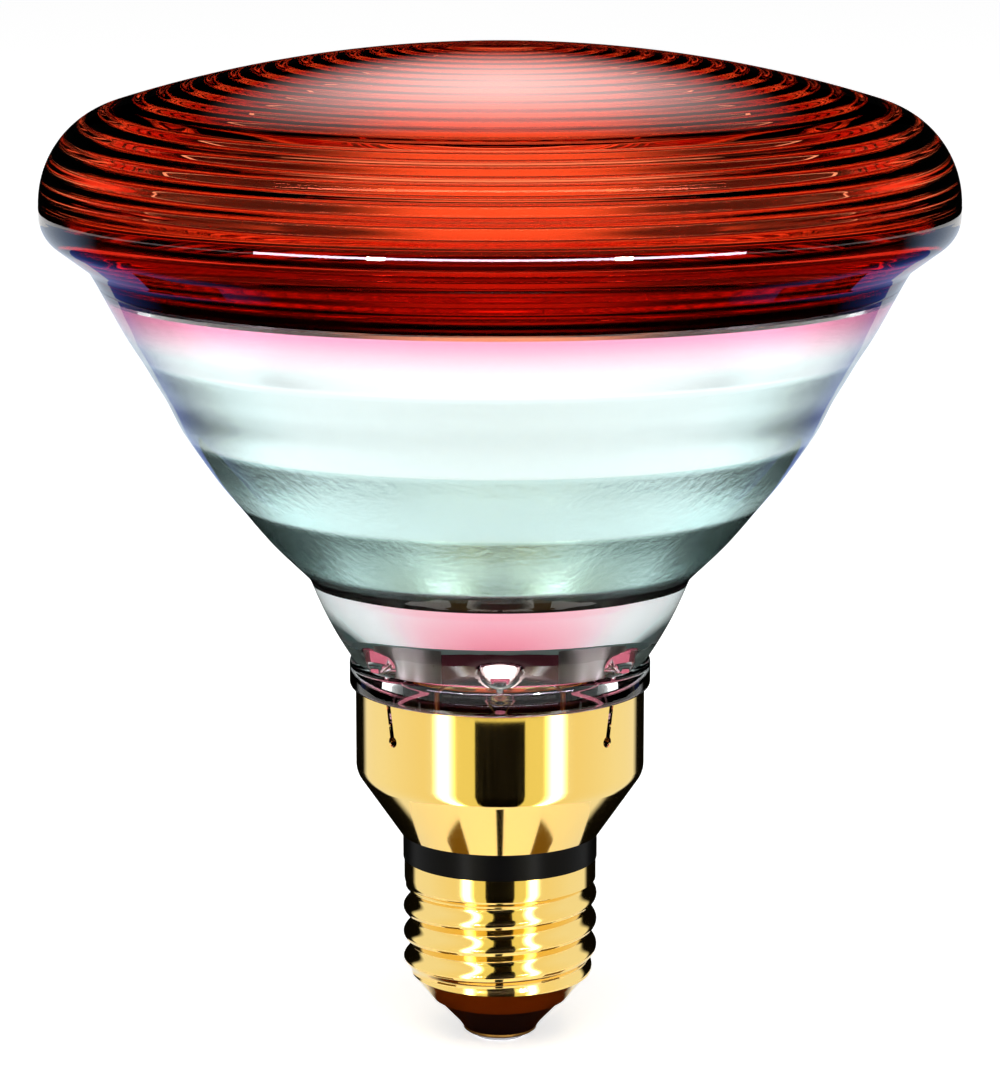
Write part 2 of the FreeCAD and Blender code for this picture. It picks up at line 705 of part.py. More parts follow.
# Wiring: the centre lead with its fuse in a glass sleeve, and the side lead to the shell
fuse_foot = fuse_top - fuse_length
fuse_place = fuse_offset * -1
lead_upper = wire("centre_lead_upper", lead_radius, [
    (ferrule_offset * -1, cup_roof), (ferrule_offset * -1, lead_bend_height),
    (fuse_place, mid(lead_bend_height, fuse_top)), (fuse_place, fuse_top - fuse_grip)])
fuse = wire("fuse_wire", fuse_wire_radius, [
    (fuse_place, fuse_top - fuse_grip), (fuse_place, fuse_foot + fuse_grip)])
sleeve = new_body("fuse_sleeve")
tube = sleeve.newObject("PartDesign::Pad", "sleeve_tube")
tube.Profile = upright_circle(sleeve, "sleeve_circle", fuse_place, fuse_foot, fuse_radius)
tube.setExpression("Length", fuse_length.formula)
doc.recompute()
drilled(sleeve, "sleeve_bore", fuse_place, fuse_top, fuse_bore, fuse_length)
lead_lower = wire("centre_lead_lower", lead_radius, [
    (fuse_place, fuse_foot + fuse_grip), (fuse_place, mid(fuse_foot, eyelet_height)),
    (0, eyelet_height + eyelet_radius), (0, solder_height)])

# The side lead ends in a bead of solder on the inside of the shell
side_run = wire("side_lead_run", lead_radius, [
    (ferrule_offset, cup_roof), (ferrule_offset, lead_bend_height),
    (side_lead_offset, mid(lead_bend_height, fuse_top)), (side_lead_offset, side_joint_height)])
bead = doc.addObject("Part::Sphere", "solder_bead")
bead.setExpression("Radius", side_joint_radius.formula)
bead.setExpression("Placement.Base.x", (shell_bore - side_joint_inset).formula)
bead.setExpression("Placement.Base.z", side_joint_height.formula)
bead_limit = doc.addObject("Part::Cylinder", "bead_limit")
bead_limit.setExpression("Radius", shell_bore.formula)
bead_limit.setExpression("Height", neck_foot_low.formula)
side_lead = joined("Part::Cut", "side_lead", (side_run, bead))
side_solder = joined("Part::Common", "side_solder", (bead, bead_limit))

doc.recompute()
for item in doc.Objects:
    if "Invalid" in item.State or "Error" in item.State:
        raise SystemExit(f"{item.Label} failed: {item.State}")

pieces = [
    front_lens, reflector_bowl, *ferrules, *posts, bridge, filament, support, exhaust,
    skirt, ring, shell, insulator, eyelet, solder,
    lead_upper, sleeve, fuse, lead_lower, side_lead, side_solder]
for piece in pieces:
    shape = piece.Shape
    if shape.isNull() or not shape.isValid() or len(shape.Solids) != 1:
        raise SystemExit(f"{piece.Label} is not one valid solid")
    shape.exportStep(f"parts/{piece.Label}.step")
print(f"{len(pieces)} pieces written")
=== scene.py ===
import math

import bpy
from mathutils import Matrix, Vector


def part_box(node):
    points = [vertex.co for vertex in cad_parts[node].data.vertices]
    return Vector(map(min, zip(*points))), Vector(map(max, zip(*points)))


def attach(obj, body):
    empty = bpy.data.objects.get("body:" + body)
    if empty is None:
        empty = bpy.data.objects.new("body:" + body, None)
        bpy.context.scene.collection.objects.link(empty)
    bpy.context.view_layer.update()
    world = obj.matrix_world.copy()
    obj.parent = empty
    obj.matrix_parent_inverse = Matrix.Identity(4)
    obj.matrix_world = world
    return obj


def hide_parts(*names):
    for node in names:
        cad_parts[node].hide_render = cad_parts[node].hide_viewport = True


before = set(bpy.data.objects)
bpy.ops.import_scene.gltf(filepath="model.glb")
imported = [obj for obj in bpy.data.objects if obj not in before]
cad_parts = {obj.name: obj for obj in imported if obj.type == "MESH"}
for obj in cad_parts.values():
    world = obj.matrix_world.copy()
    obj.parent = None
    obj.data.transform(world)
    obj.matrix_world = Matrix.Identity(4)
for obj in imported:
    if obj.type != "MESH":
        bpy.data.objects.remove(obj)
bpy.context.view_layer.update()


# End contact: a stamped brass eyelet under a flat cap of tin solder, set in a cone of black
# glass that is poured into the shell's end. These three keep their CAD meshes.

def linear(code):
    """Turn an sRGB hex colour into the linear RGBA that a shader socket takes."""
    parts = [int(code[place:place + 2], 16) / 255 for place in (1, 3, 5)]
    return [part / 12.92 if part <= 0.04045 else ((part + 0.055) / 1.055) ** 2.4 for part in parts] + [1.0]


def new_finish(name):
    """A new node material and its tree, which is still empty."""
    finish = bpy.data.materials.new(name)
    finish.use_nodes = True
    finish.node_tree.nodes.clear()
    return finish, finish.node_tree


def add(tree, kind, settings=None, links=None, stops=()):
    """Add a node, fill in its properties, sockets and ramp stops, and link its inputs."""
    made = tree.nodes.new(kind)
    for place, (position, colour) in enumerate(stops):
        mark = made.color_ramp.elements[place] if place < 2 else made.color_ramp.elements.new(1.0)
        mark.position = position
        mark.color = colour
    for key, value in (settings or {}).items():
        if isinstance(key, str) and hasattr(made, key):
            setattr(made, key, value)
        else:
            made.inputs[key].default_value = value
    for key, source in (links or {}).items():
        tree.links.new(source, made.inputs[key])
    return made


def dress(finish, *names):
    """Give CAD nodes a finish and keep their meshes."""
    for name in names:
        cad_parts[name].material_slots[0].material = finish


MM = 0.001

# Tin solder, melted on and left to set: dull grey with a faintly puddled skin
solder_finish, tree = new_finish("set_tin_solder")
place = add(tree, "ShaderNodeTexCoord")
puddle = add(tree, "ShaderNodeTexNoise", {"Scale": 1 / (1.2 * MM), "Detail": 3.0},
             {"Vector": place.outputs["Object"]})
skin = add(tree, "ShaderNodeBump", {"Strength": 0.35, "Distance": 0.15 * MM},
           {"Height": puddle.outputs["Fac"]})
solder_metal = add(tree, "ShaderNodeBsdfPrincipled", {
    "Base Color": linear("#B4B5B8"), "Metallic": 1.0, "Roughness": 0.34}, {"Normal": skin.outputs["Normal"]})
add(tree, "ShaderNodeOutputMaterial", links={"Surface": solder_metal.outputs["BSDF"]})
dress(solder_finish, "contact_solder", "side_solder")

# Stamped brass with no polish: darker than the shell, dull from the press
stamped_finish, tree = new_finish("stamped_brass")
place = add(tree, "ShaderNodeTexCoord")
tarnish = add(tree, "ShaderNodeTexNoise", {"Scale": 1 / (1.5 * MM), "Detail": 4.0},
              {"Vector": place.outputs["Object"]})
dulled = add(tree, "ShaderNodeMapRange", {"To Min": 0.24, "To Max": 0.42}, {"Value": tarnish.outputs["Fac"]})
stamped = add(tree, "ShaderNodeBsdfPrincipled", {
    "Base Color": linear("#B48A45"), "Metallic": 1.0}, {"Roughness": dulled.outputs["Result"]})
add(tree, "ShaderNodeOutputMaterial", links={"Surface": stamped.outputs["BSDF"]})
dress(stamped_finish, "contact_eyelet")

# Vitrite, a lead glass black with manganese: deep, wet-looking, with slow ripples from pouring
vitrite_finish, tree = new_finish("poured_vitrite")
place = add(tree, "ShaderNodeTexCoord")
ripple = add(tree, "ShaderNodeTexNoise", {"Scale": 1 / (2.5 * MM), "Detail": 2.0},
             {"Vector": place.outputs["Object"]})
waves = add(tree, "ShaderNodeBump", {"Strength": 0.4, "Distance": 0.1 * MM},
            {"Height": ripple.outputs["Fac"]})
vitrite = add(tree, "ShaderNodeBsdfPrincipled", {
    "Base Color": linear("#0B090C"), "Roughness": 0.1, "IOR": 1.58}, {"Normal": waves.outputs["Normal"]})
add(tree, "ShaderNodeOutputMaterial", links={"Surface": vitrite.outputs["BSDF"]})
dress(vitrite_finish, "base_insulator")


# Screw shell: a sleeve of thin brass strip, deep drawn and then rolled between dies to the
# right-hand round thread. It replaces the many-sided CAD thread with the smooth one.

def lathe(name, outline, sides, shape=None):
    """Turn a closed outline of (radius, height) pairs, in millimetres, about the Z axis.

    shape may move a point: it takes its radius, height and azimuth and gives the new radius.
    """
    vertices = []
    rings = []
    for radius, height in outline:
        if radius < 1e-6:
            rings.append([len(vertices)] * sides)
            vertices.append((0, 0, height * MM))
            continue
        rings.append(range(len(vertices), len(vertices) + sides))
        for side in range(sides):
            azimuth = 2 * math.pi * side / sides
            reach = shape(radius, height, azimuth) if shape else radius
            vertices.append((reach * MM * math.cos(azimuth), reach * MM * math.sin(azimuth), height * MM))
    faces = []
    for lower, upper in zip(rings, rings[1:] + rings[:1]):
        for side in range(sides):
            following = (side + 1) % sides
            corners = [lower[side], lower[following], upper[following], upper[side]]
            corners = list(dict.fromkeys(corners))
            if len(corners) > 2:
                faces.append(corners)
    mesh = bpy.data.meshes.new(name)
    mesh.from_pydata(vertices, [], faces)
    mesh.update()
    mesh.shade_smooth()
    mesh.set_sharp_from_angle(angle=math.radians(32))
    piece = bpy.data.objects.new(name, mesh)
    bpy.context.scene.collection.objects.link(piece)
    return piece


def run(start, end, steps):
    """Points from one (radius, height) up to but not including the next, in a straight line."""
    return [tuple(first + (last - first) * step / steps for first, last in zip(start, end))
            for step in range(steps)]


shell_low, shell_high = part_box("screw_shell")
THREAD_PITCH = 3.629
THREAD_ROOT = 12.13
SHELL_WALL = 0.3
shell_foot = shell_low.z / MM
shell_top = shell_high.z / MM
thread_crest = shell_high.x / MM
LIP_RADIUS = 9.3
LIP_RISE = 4.1
SHOULDER_BEND = (12.1, 0.6)
THREAD_RUN_IN = 0.5
NECK_RADIUS = 13.05
NECK_HEIGHT = 3.0
NECK_FLARE = 0.8
FADE_IN = 3.0
FADE_OUT = 1.2
CREST_FULLNESS = 0.8
shoulder = shell_foot + LIP_RISE
neck_foot = shell_top - NECK_HEIGHT
thread_depth = thread_crest - THREAD_ROOT


def wave(turns):
    """A smooth wave from 0 up to 1 and back for each whole turn."""
    return 0.5 - 0.5 * math.cos(2 * math.pi * turns)


def thread_shape(radius, height, azimuth):
    """Push the outer wall out to the round thread, which fades in and out at its two ends."""
    if radius < THREAD_ROOT - SHELL_WALL / 2 or not shoulder - FADE_IN / 2 < height < neck_foot:
        return radius
    turns = (height - shell_foot) / THREAD_PITCH - azimuth / (2 * math.pi) + 0.5
    start = min(1.0, max(0.0, (height - shoulder) / FADE_IN + 0.5))
    end = min(1.0, max(0.0, (neck_foot - height) / FADE_OUT))
    return radius + thread_depth * wave(turns) ** CREST_FULLNESS * start * end


lip_bend = (SHOULDER_BEND[0], shoulder - SHOULDER_BEND[1])
thread_foot = (THREAD_ROOT, shoulder + THREAD_RUN_IN)
thread_top = (THREAD_ROOT, neck_foot - NECK_FLARE)
shell_outline = (
    run((LIP_RADIUS, shell_foot), lip_bend, 6)
    + run(lip_bend, thread_foot, 5)
    + run(thread_foot, thread_top, 90)
    + run(thread_top, (NECK_RADIUS, neck_foot), 5)
    + run((NECK_RADIUS, neck_foot), (NECK_RADIUS, shell_top), 4)
    + [(NECK_RADIUS, shell_top), (NECK_RADIUS - SHELL_WALL, shell_top)]
    + [(NECK_RADIUS - SHELL_WALL, neck_foot), (THREAD_ROOT - SHELL_WALL, neck_foot - NECK_FLARE)]
    + [(THREAD_ROOT - SHELL_WALL, shoulder), (LIP_RADIUS - SHELL_WALL, shell_foot + SHELL_WALL / 2)])
screw_shell = lathe("rolled_shell", shell_outline, 240, thread_shape)

# Drawn brass, bright dipped and lacquered: a warm mirror, with faint upright draw marks; the
# skirt's inside is painted dark brown, a painted shade for the shadow inside the skirt
brass_finish, tree = new_finish("drawn_brass")
place = add(tree, "ShaderNodeTexCoord")
marks = add(tree, "ShaderNodeMapping", {"Scale": (1 / (0.4 * MM), 1 / (0.4 * MM), 1 / (12 * MM))},
            {"Vector": place.outputs["Object"]})
drawn = add(tree, "ShaderNodeTexNoise", {"Scale": 1.0, "Detail": 2.0}, {"Vector": marks.outputs["Vector"]})
sheen = add(tree, "ShaderNodeMapRange", {"To Min": 0.05, "To Max": 0.11}, {"Value": drawn.outputs["Fac"]})
SKIRT_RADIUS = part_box("cap_skirt")[1].x / MM
# Painted shade: inside the skirt wall and above this height, the brass is painted dark brown
INSIDE_SHADE_FOOT = 39.0
parts = add(tree, "ShaderNodeSeparateXYZ", links={"Vector": place.outputs["Object"]})
level = add(tree, "ShaderNodeCombineXYZ", links={"X": parts.outputs["X"], "Y": parts.outputs["Y"]})
away = add(tree, "ShaderNodeVectorMath", {"operation": "LENGTH"}, {0: level.outputs["Vector"]})
inside = add(tree, "ShaderNodeMapRange", {
    "From Min": (SKIRT_RADIUS - 0.1) * MM, "From Max": (SKIRT_RADIUS - 0.3) * MM},
    {"Value": away.outputs["Value"]})
upper = add(tree, "ShaderNodeMapRange", {"From Min": INSIDE_SHADE_FOOT * MM, "From Max": (INSIDE_SHADE_FOOT + 0.5) * MM},
            {"Value": parts.outputs["Z"]})
scaled_and_shaded = add(tree, "ShaderNodeMath", {"operation": "MULTIPLY"},
             {0: inside.outputs["Result"], 1: upper.outputs["Result"]})
shade = add(tree, "ShaderNodeMix", {"data_type": "RGBA"}, {"Factor": scaled_and_shaded.outputs[0]})
shade.inputs[6].default_value = linear("#F8D884")
shade.inputs[7].default_value = linear("#1A0F06")
brass = add(tree, "ShaderNodeBsdfPrincipled", {"Metallic": 1.0},
            {"Base Color": shade.outputs[2], "Roughness": sheen.outputs["Result"]})
add(tree, "ShaderNodeOutputMaterial", links={"Surface": brass.outputs["BSDF"]})
screw_shell.data.materials.append(brass_finish)
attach(screw_shell, "root")
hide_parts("screw_shell")


# Cap skirt: a drawn brass cup, slit at its rim so that it could be crimped onto the glass, with a
# cone foot that turns in over the insulating ring. It keeps its CAD mesh, in the shell's brass.

dress(brass_finish, "cap_skirt")


# Insulating ring: a moulded black band that keeps the skirt off the live shell, with a sleeve
# that sits inside both. It keeps its CAD mesh.

# Black glass-filled moulding: satin, with the fine grain of its filler
ring_finish, tree = new_finish("moulded_black")
place = add(tree, "ShaderNodeTexCoord")
grain = add(tree, "ShaderNodeTexNoise", {"Scale": 1 / (0.3 * MM), "Detail": 2.0},
            {"Vector": place.outputs["Object"]})
grained = add(tree, "ShaderNodeBump", {"Strength": 0.2, "Distance": 0.03 * MM},
              {"Height": grain.outputs["Fac"]})
moulding = add(tree, "ShaderNodeBsdfPrincipled", {
    "Base Color": linear("#050505"), "Roughness": 0.3, "Specular IOR Level": 0.06},
    {"Normal": grained.outputs["Normal"]})
add(tree, "ShaderNodeOutputMaterial", links={"Surface": moulding.outputs["BSDF"]})
dress(ring_finish, "insulating_ring")


# Reflector bowl: clear borosilicate pressed in a mould, with stepped bands, a thick cup and
# round lugs that key it into the skirt. Its inside is coated with evaporated aluminium.

def arc(start, end, radius, turn, steps):
    """Points of the short arc from start up to but not including end, left for turn 1."""
    chord = math.dist(start, end)
    rise = math.sqrt(radius * radius - chord * chord / 4) * turn
    across = (end[0] - start[0]) / chord
    up = (end[1] - start[1]) / chord
    centre = ((start[0] + end[0]) / 2 - up * rise, (start[1] + end[1]) / 2 + across * rise)
    first = math.atan2(start[1] - centre[1], start[0] - centre[0])
    sweep = 2 * math.asin(chord / 2 / radius) * turn
    angles = [first + sweep * step / steps for step in range(steps)]
    return [(centre[0] + radius * math.cos(angle), centre[1] + radius * math.sin(angle)) for angle in angles]


bowl_low, bowl_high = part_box("reflector_bowl")
heel = bowl_low.z / MM
seam = bowl_high.z / MM
SIDES = 360
SKIRT_TOP = 49.6
OUTER_FOCUS = 13.5
OUTER_APEX = 52.4
MIRROR_FOCUS = 12.9
MIRROR_APEX = 56.0
MIRROR_FLOOR = 59.5
MIRROR_DISH = 0.15
BAND_STEP = 0.28
STEP_EASE = 2.6
STEP_LEVELS = [(68.1, 0, -1), (76.4, 1, 0), (87.3, -1, 1), (96.3, 0, -1)]
HEEL_RADIUS = 18.7
RECESS_RADIUS = 14.5
RECESS_TOP = 54.3
FLANGE_RADIUS = 20.3
FLANGE_TOP = 53.1
CUP_FOOT = (19.9, 53.6)
CUP_TOP = (25.2, 63.7)
CUP_BULGE = 50.0
BAND_FOOT = 65.1
LUG_RADIUS = 3.0
LUG_HEIGHT = 56.4
LUG_REACH = 22.3
LUG_CROWN = 0.35
LUG_EDGE = 3.5
LUG_AZIMUTHS = [math.radians(turn) for turn in (0, 48, 132, 180, -132, -48)]
RECESS_ROUND = 0.6
HEEL_ROUND = 0.7
FLANGE_ROUND = 0.5
FLANGE_EDGE = 0.6
CUP_FILLET = 1.6
CUP_RIM_GAP = 0.1


def paraboloid(focus, apex, height):
    """The radius of a paraboloid of revolution at a height."""
    return math.sqrt(4 * focus * (height - apex))


def chords(levels, sag, steps):
    """Points up the mirror's flat bands, each dished inwards a little."""
    points = []
    for low, high in zip(levels, levels[1:]):
        start = (paraboloid(MIRROR_FOCUS, MIRROR_APEX, low), low)
        end = (paraboloid(MIRROR_FOCUS, MIRROR_APEX, high), high)
        for place, (radius, height) in enumerate(run(start, end, steps)):
            points.append((radius - sag * math.sin(math.pi * place / steps), height))
    return points + [end]


def stand_off(height):
    """How far the outside stands off its paraboloid, easing from one band to the next."""
    for level, above, below in STEP_LEVELS:
        if height < level + STEP_EASE:
            share = min(1.0, max(0.0, (height - level + STEP_EASE) / (2 * STEP_EASE)))
            return BAND_STEP * (below + (above - below) * share * share * (3 - 2 * share))
    return 0.0


def lug_shape(radius, height, azimuth):
    """Raise the round lugs on the cup's outside, with soft pressed edges."""
    if radius < HEEL_RADIUS + 1 or not LUG_HEIGHT - LUG_RADIUS < height < LUG_HEIGHT + LUG_RADIUS:
        return radius
    front = azimuth + math.pi / 2
    for lug in LUG_AZIMUTHS:
        turn = math.remainder(front - lug, 2 * math.pi)
        spread = math.hypot(turn * LUG_REACH, height - LUG_HEIGHT) / LUG_RADIUS
        if spread < 1:
            crown = LUG_REACH - LUG_CROWN * spread * spread
            return max(radius, radius + (crown - radius) * min(1.0, (1 - spread) * LUG_EDGE))
    return radius


outer_levels = [BAND_FOOT + (seam - BAND_FOOT) * step / 80 for step in range(81)]
outer_bands = [(paraboloid(OUTER_FOCUS, OUTER_APEX, level) + stand_off(level), level)
               for level in outer_levels]
mirror_levels = [MIRROR_FLOOR, 68.1, 76.4, 85.2, 96.3, seam]
mirror_bands = chords(mirror_levels, MIRROR_DISH, 16)
recess_edge = (RECESS_RADIUS - RECESS_ROUND, RECESS_TOP)
recess_side = (RECESS_RADIUS, RECESS_TOP - RECESS_ROUND)
heel_edge = (HEEL_RADIUS - HEEL_ROUND, heel)
heel_side = (HEEL_RADIUS, heel + HEEL_ROUND)
flange_low = (FLANGE_RADIUS - FLANGE_ROUND, SKIRT_TOP)
flange_side = (FLANGE_RADIUS, SKIRT_TOP + FLANGE_ROUND)
flange_high = (FLANGE_RADIUS, FLANGE_TOP - FLANGE_EDGE)
glass_side = (
    [(0, RECESS_TOP), recess_edge] + arc(recess_edge, recess_side, RECESS_ROUND, -1, 4)
    + [recess_side, (RECESS_RADIUS, heel), heel_edge] + arc(heel_edge, heel_side, HEEL_ROUND, 1, 5)
    + [heel_side, (HEEL_RADIUS, SKIRT_TOP), flange_low] + arc(flange_low, flange_side, FLANGE_ROUND, 1, 5)
    + run(flange_side, flange_high, 8) + arc(flange_high, CUP_FOOT, CUP_FILLET, 1, 6)
    + arc(CUP_FOOT, CUP_TOP, CUP_BULGE, 1, 48)
    + run(CUP_TOP, (outer_bands[0][0] - CUP_RIM_GAP, outer_bands[0][1]), 6)
    + outer_bands)
mirror_side = mirror_bands[::-1] + [(0, MIRROR_FLOOR)]
bowl = lathe("pressed_bowl", glass_side + mirror_side, SIDES, lug_shape)

# Borosilicate glass, pressed: clear with a slight sea-green cast, its skin wavy from the mould
clear_finish, tree = new_finish("pressed_borosilicate")
place = add(tree, "ShaderNodeTexCoord")
mould_wave = add(tree, "ShaderNodeTexNoise", {"Scale": 1 / (7 * MM), "Detail": 2.0},
                 {"Vector": place.outputs["Object"]})
wavy = add(tree, "ShaderNodeBump", {"Strength": 0.25, "Distance": 0.12 * MM},
           {"Height": mould_wave.outputs["Fac"]})
clear = add(tree, "ShaderNodeBsdfPrincipled", {
    "Base Color": linear("#F1F8F7"), "Roughness": 0.0, "IOR": 1.47, "Transmission Weight": 1.0},
    {"Normal": wavy.outputs["Normal"]})
add(tree, "ShaderNodeOutputMaterial", links={"Surface": clear.outputs["BSDF"]})

# Aluminium film, evaporated onto the inside: bright towards the cavity, and a soft mirror through
# the glass, painted a tone deeper in each lower band as painted shade for the darker ground it
# reflects, and pebbled where the mould was stippled. Its top edge has a painted pink glow from the red brim
film_finish, tree = new_finish("aluminium_film")
place = add(tree, "ShaderNodeTexCoord")
height = add(tree, "ShaderNodeSeparateXYZ", links={"Vector": place.outputs["Object"]})
stipple = add(tree, "ShaderNodeTexNoise", {"Scale": 1 / (1.1 * MM), "Detail": 2.0, "Roughness": 0.6},
              {"Vector": place.outputs["Object"]})
below = add(tree, "ShaderNodeMapRange", {
    "From Min": 88 * MM, "From Max": 84 * MM, "To Min": 0.02, "To Max": 0.16},
    {"Value": height.outputs["Z"]})
pebbled = add(tree, "ShaderNodeBump", {"Distance": 0.2 * MM},
              {"Height": stipple.outputs["Fac"], "Strength": below.outputs["Result"]})
TONE_LOW = 60.0
TONE_HIGH = 110.0
level = add(tree, "ShaderNodeMapRange", {"From Min": TONE_LOW * MM, "From Max": TONE_HIGH * MM},
            {"Value": height.outputs["Z"]})
# Painted shade: one tone per band, darker down the bowl
BAND_PAINTED_SHADES = [(60.0, "#5A605C"), (67.0, "#B4CFCC"), (76.4, "#C0D6D5"), (85.2, "#D4DEDE"),
              (96.3, "#DEE2E3")]
tone = add(tree, "ShaderNodeValToRGB", links={"Fac": level.outputs["Result"]},
           stops=[((foot - TONE_LOW) / (TONE_HIGH - TONE_LOW), linear(code)) for foot, code in BAND_PAINTED_SHADES])
tone.color_ramp.interpolation = "CONSTANT"
# Painted glow: the film turns pink towards its top edge, for the red brim's light
brim_glow = add(tree, "ShaderNodeMapRange", {"From Min": 98.5 * MM, "From Max": 103.5 * MM, "To Max": 0.85},
            {"Value": height.outputs["Z"]})
tinted = add(tree, "ShaderNodeMix", {"data_type": "RGBA"},
             {"Factor": brim_glow.outputs["Result"], 6: tone.outputs["Color"]})
tinted.inputs[7].default_value = linear("#F88CB2")
side = add(tree, "ShaderNodeNewGeometry")
faced = add(tree, "ShaderNodeMix", {"data_type": "RGBA"}, {
    "Factor": side.outputs["Backfacing"], 7: tinted.outputs[2]})
faced.inputs[6].default_value = linear("#F0F4F4")
film = add(tree, "ShaderNodeBsdfPrincipled", {"Metallic": 1.0, "Roughness": 0.22},
           {"Base Color": faced.outputs[2], "Normal": pebbled.outputs["Normal"]})
add(tree, "ShaderNodeOutputMaterial", links={"Surface": film.outputs["BSDF"]})
bowl.data.materials.append(clear_finish)
bowl.data.materials.append(film_finish)

# Thin film round the floor, with a painted glow for the light that the ruby lens lets through: it
# glows pink where it is looked into squarely, then white, with painted shade along the cup's edges
glowing_film_finish, tree = new_finish("painted_film_glow")
facing = add(tree, "ShaderNodeLayerWeight", {"Blend": 0.5})
FILM_GLOW_TONES = [(0.35, "#EC7890"), (0.44, "#F0BCC8"), (0.52, "#EEF1F3"), (0.63, "#E4EEEE"),
               (0.73, "#3C5654")]
hue = add(tree, "ShaderNodeValToRGB", links={"Fac": facing.outputs["Facing"]},
          stops=[(position, linear(code)) for position, code in FILM_GLOW_TONES])
# Painted glow: the film gives off light of its own, though it is no lamp
film_glow = add(tree, "ShaderNodeBsdfPrincipled", {
    "Roughness": 0.4, "Metallic": 0.3, "Emission Strength": 0.5},
    {"Base Color": hue.outputs["Color"], "Emission Color": hue.outputs["Color"]})
add(tree, "ShaderNodeOutputMaterial", links={"Surface": film_glow.outputs["BSDF"]})
bowl.data.materials.append(glowing_film_finish)

# The film stops a step short of the seam, where the rim is kept bare to be fused
film_start = len(glass_side) * SIDES
FILM_FOOT = 64.8
for face in bowl.data.polygons:
    if min(face.vertices) >= film_start:
        # Below FILM_FOOT the film takes the painted glow
        face.material_index = 1 if face.center.z > FILM_FOOT * MM else 2
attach(bowl, "root")
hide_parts("reflector_bowl")


# Stem: two nickel-iron ferrules, sealed into the bowl's floor, carry the welded posts, and a glass
# bridge rod ties the posts together. The exhaust tube under the floor was pinched off in a flame.

# Nickel-iron alloy, drawn and fired in the seal: grey, satin, a little oxidised
alloy_finish, tree = new_finish("fired_nickel_iron")
place = add(tree, "ShaderNodeTexCoord")
oxide = add(tree, "ShaderNodeTexNoise", {"Scale": 1 / (1 * MM), "Detail": 3.0},
            {"Vector": place.outputs["Object"]})
fired = add(tree, "ShaderNodeMapRange", {"To Min": 0.22, "To Max": 0.45}, {"Value": oxide.outputs["Fac"]})
alloy = add(tree, "ShaderNodeBsdfPrincipled", {
    "Base Color": linear("#9A958E"), "Metallic": 1.0}, {"Roughness": fired.outputs["Result"]})
add(tree, "ShaderNodeOutputMaterial", links={"Surface": alloy.outputs["BSDF"]})
dress(alloy_finish, "ferrule_left", "ferrule_right", "lead_post_left", "lead_post_right")

# Drawn glass tube and rod: clear and smooth
tube_finish, tree = new_finish("drawn_glass")
place = add(tree, "ShaderNodeTexCoord")
cords = add(tree, "ShaderNodeTexNoise", {"Scale": 1 / (3 * MM)}, {"Vector": place.outputs["Object"]})
corded = add(tree, "ShaderNodeBump", {"Strength": 0.1, "Distance": 0.05 * MM},
             {"Height": cords.outputs["Fac"]})
tube = add(tree, "ShaderNodeBsdfPrincipled", {
    "Base Color": linear("#F4FAF8"), "Roughness": 0.0, "IOR": 1.5, "Transmission Weight": 1.0},
    {"Normal": corded.outputs["Normal"]})
add(tree, "ShaderNodeOutputMaterial", links={"Surface": tube.outputs["BSDF"]})
dress(tube_finish, "bridge_rod", "exhaust_tube")


# Filament: a coil of tungsten wire bent in a half ring from post to post, held at its middle by
# the support wire. A node tree winds it.

# Tungsten wire: dark grey with fine die lines
tungsten_finish, tree = new_finish("drawn_tungsten")
place = add(tree, "ShaderNodeTexCoord")
lines = add(tree, "ShaderNodeTexNoise", {"Scale": 1 / (0.2 * MM)}, {"Vector": place.outputs["Object"]})
lined = add(tree, "ShaderNodeMapRange", {"To Min": 0.3, "To Max": 0.5}, {"Value": lines.outputs["Fac"]})
tungsten = add(tree, "ShaderNodeBsdfPrincipled", {
    "Base Color": linear("#57585C"), "Metallic": 1.0}, {"Roughness": lined.outputs["Result"]})
add(tree, "ShaderNodeOutputMaterial", links={"Surface": tungsten.outputs["BSDF"]})
dress(tungsten_finish, "support_wire")

COIL_TURNS = 64.0
WIRE_RADIUS = 0.13
COIL_INSET = 0.14
coil_low, coil_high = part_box("filament")
coil_height = (coil_low.z + coil_high.z) / 2
coil_reach = (coil_high.z - coil_low.z) / 2
winding = bpy.data.node_groups.new("wound_filament", "GeometryNodeTree")
winding.interface.new_socket(name="Geometry", in_out="INPUT", socket_type="NodeSocketGeometry")
winding.interface.new_socket(name="Geometry", in_out="OUTPUT", socket_type="NodeSocketGeometry")
sizes = {"Turns": COIL_TURNS, "Wire Radius": WIRE_RADIUS * MM, "Ring Radius": coil_high.x - coil_reach,
         "Height": coil_height, "Coil Radius": coil_reach - COIL_INSET * MM}
sockets = {name: winding.interface.new_socket(
    name=name, in_out="INPUT", socket_type="NodeSocketFloat").identifier for name in sizes}
given = add(winding, "NodeGroupInput")
path = add(winding, "GeometryNodeCurvePrimitiveLine")
finely = add(winding, "GeometryNodeResampleCurve", {"Count": 1025}, {"Curve": path.outputs["Curve"]})
along = add(winding, "GeometryNodeSplineParameter")
turns = add(winding, "ShaderNodeMath", {"operation": "MULTIPLY"},
            {0: along.outputs["Factor"], 1: given.outputs["Turns"]})
phase = add(winding, "ShaderNodeMath", {"operation": "MULTIPLY", 1: 2 * math.pi}, {0: turns.outputs[0]})
outward = add(winding, "ShaderNodeMath", {"operation": "COSINE"}, {0: phase.outputs[0]})
upward = add(winding, "ShaderNodeMath", {"operation": "SINE"}, {0: phase.outputs[0]})
reach = add(winding, "ShaderNodeMath", {"operation": "MULTIPLY_ADD"}, {
    0: outward.outputs[0], 1: given.outputs["Coil Radius"], 2: given.outputs["Ring Radius"]})
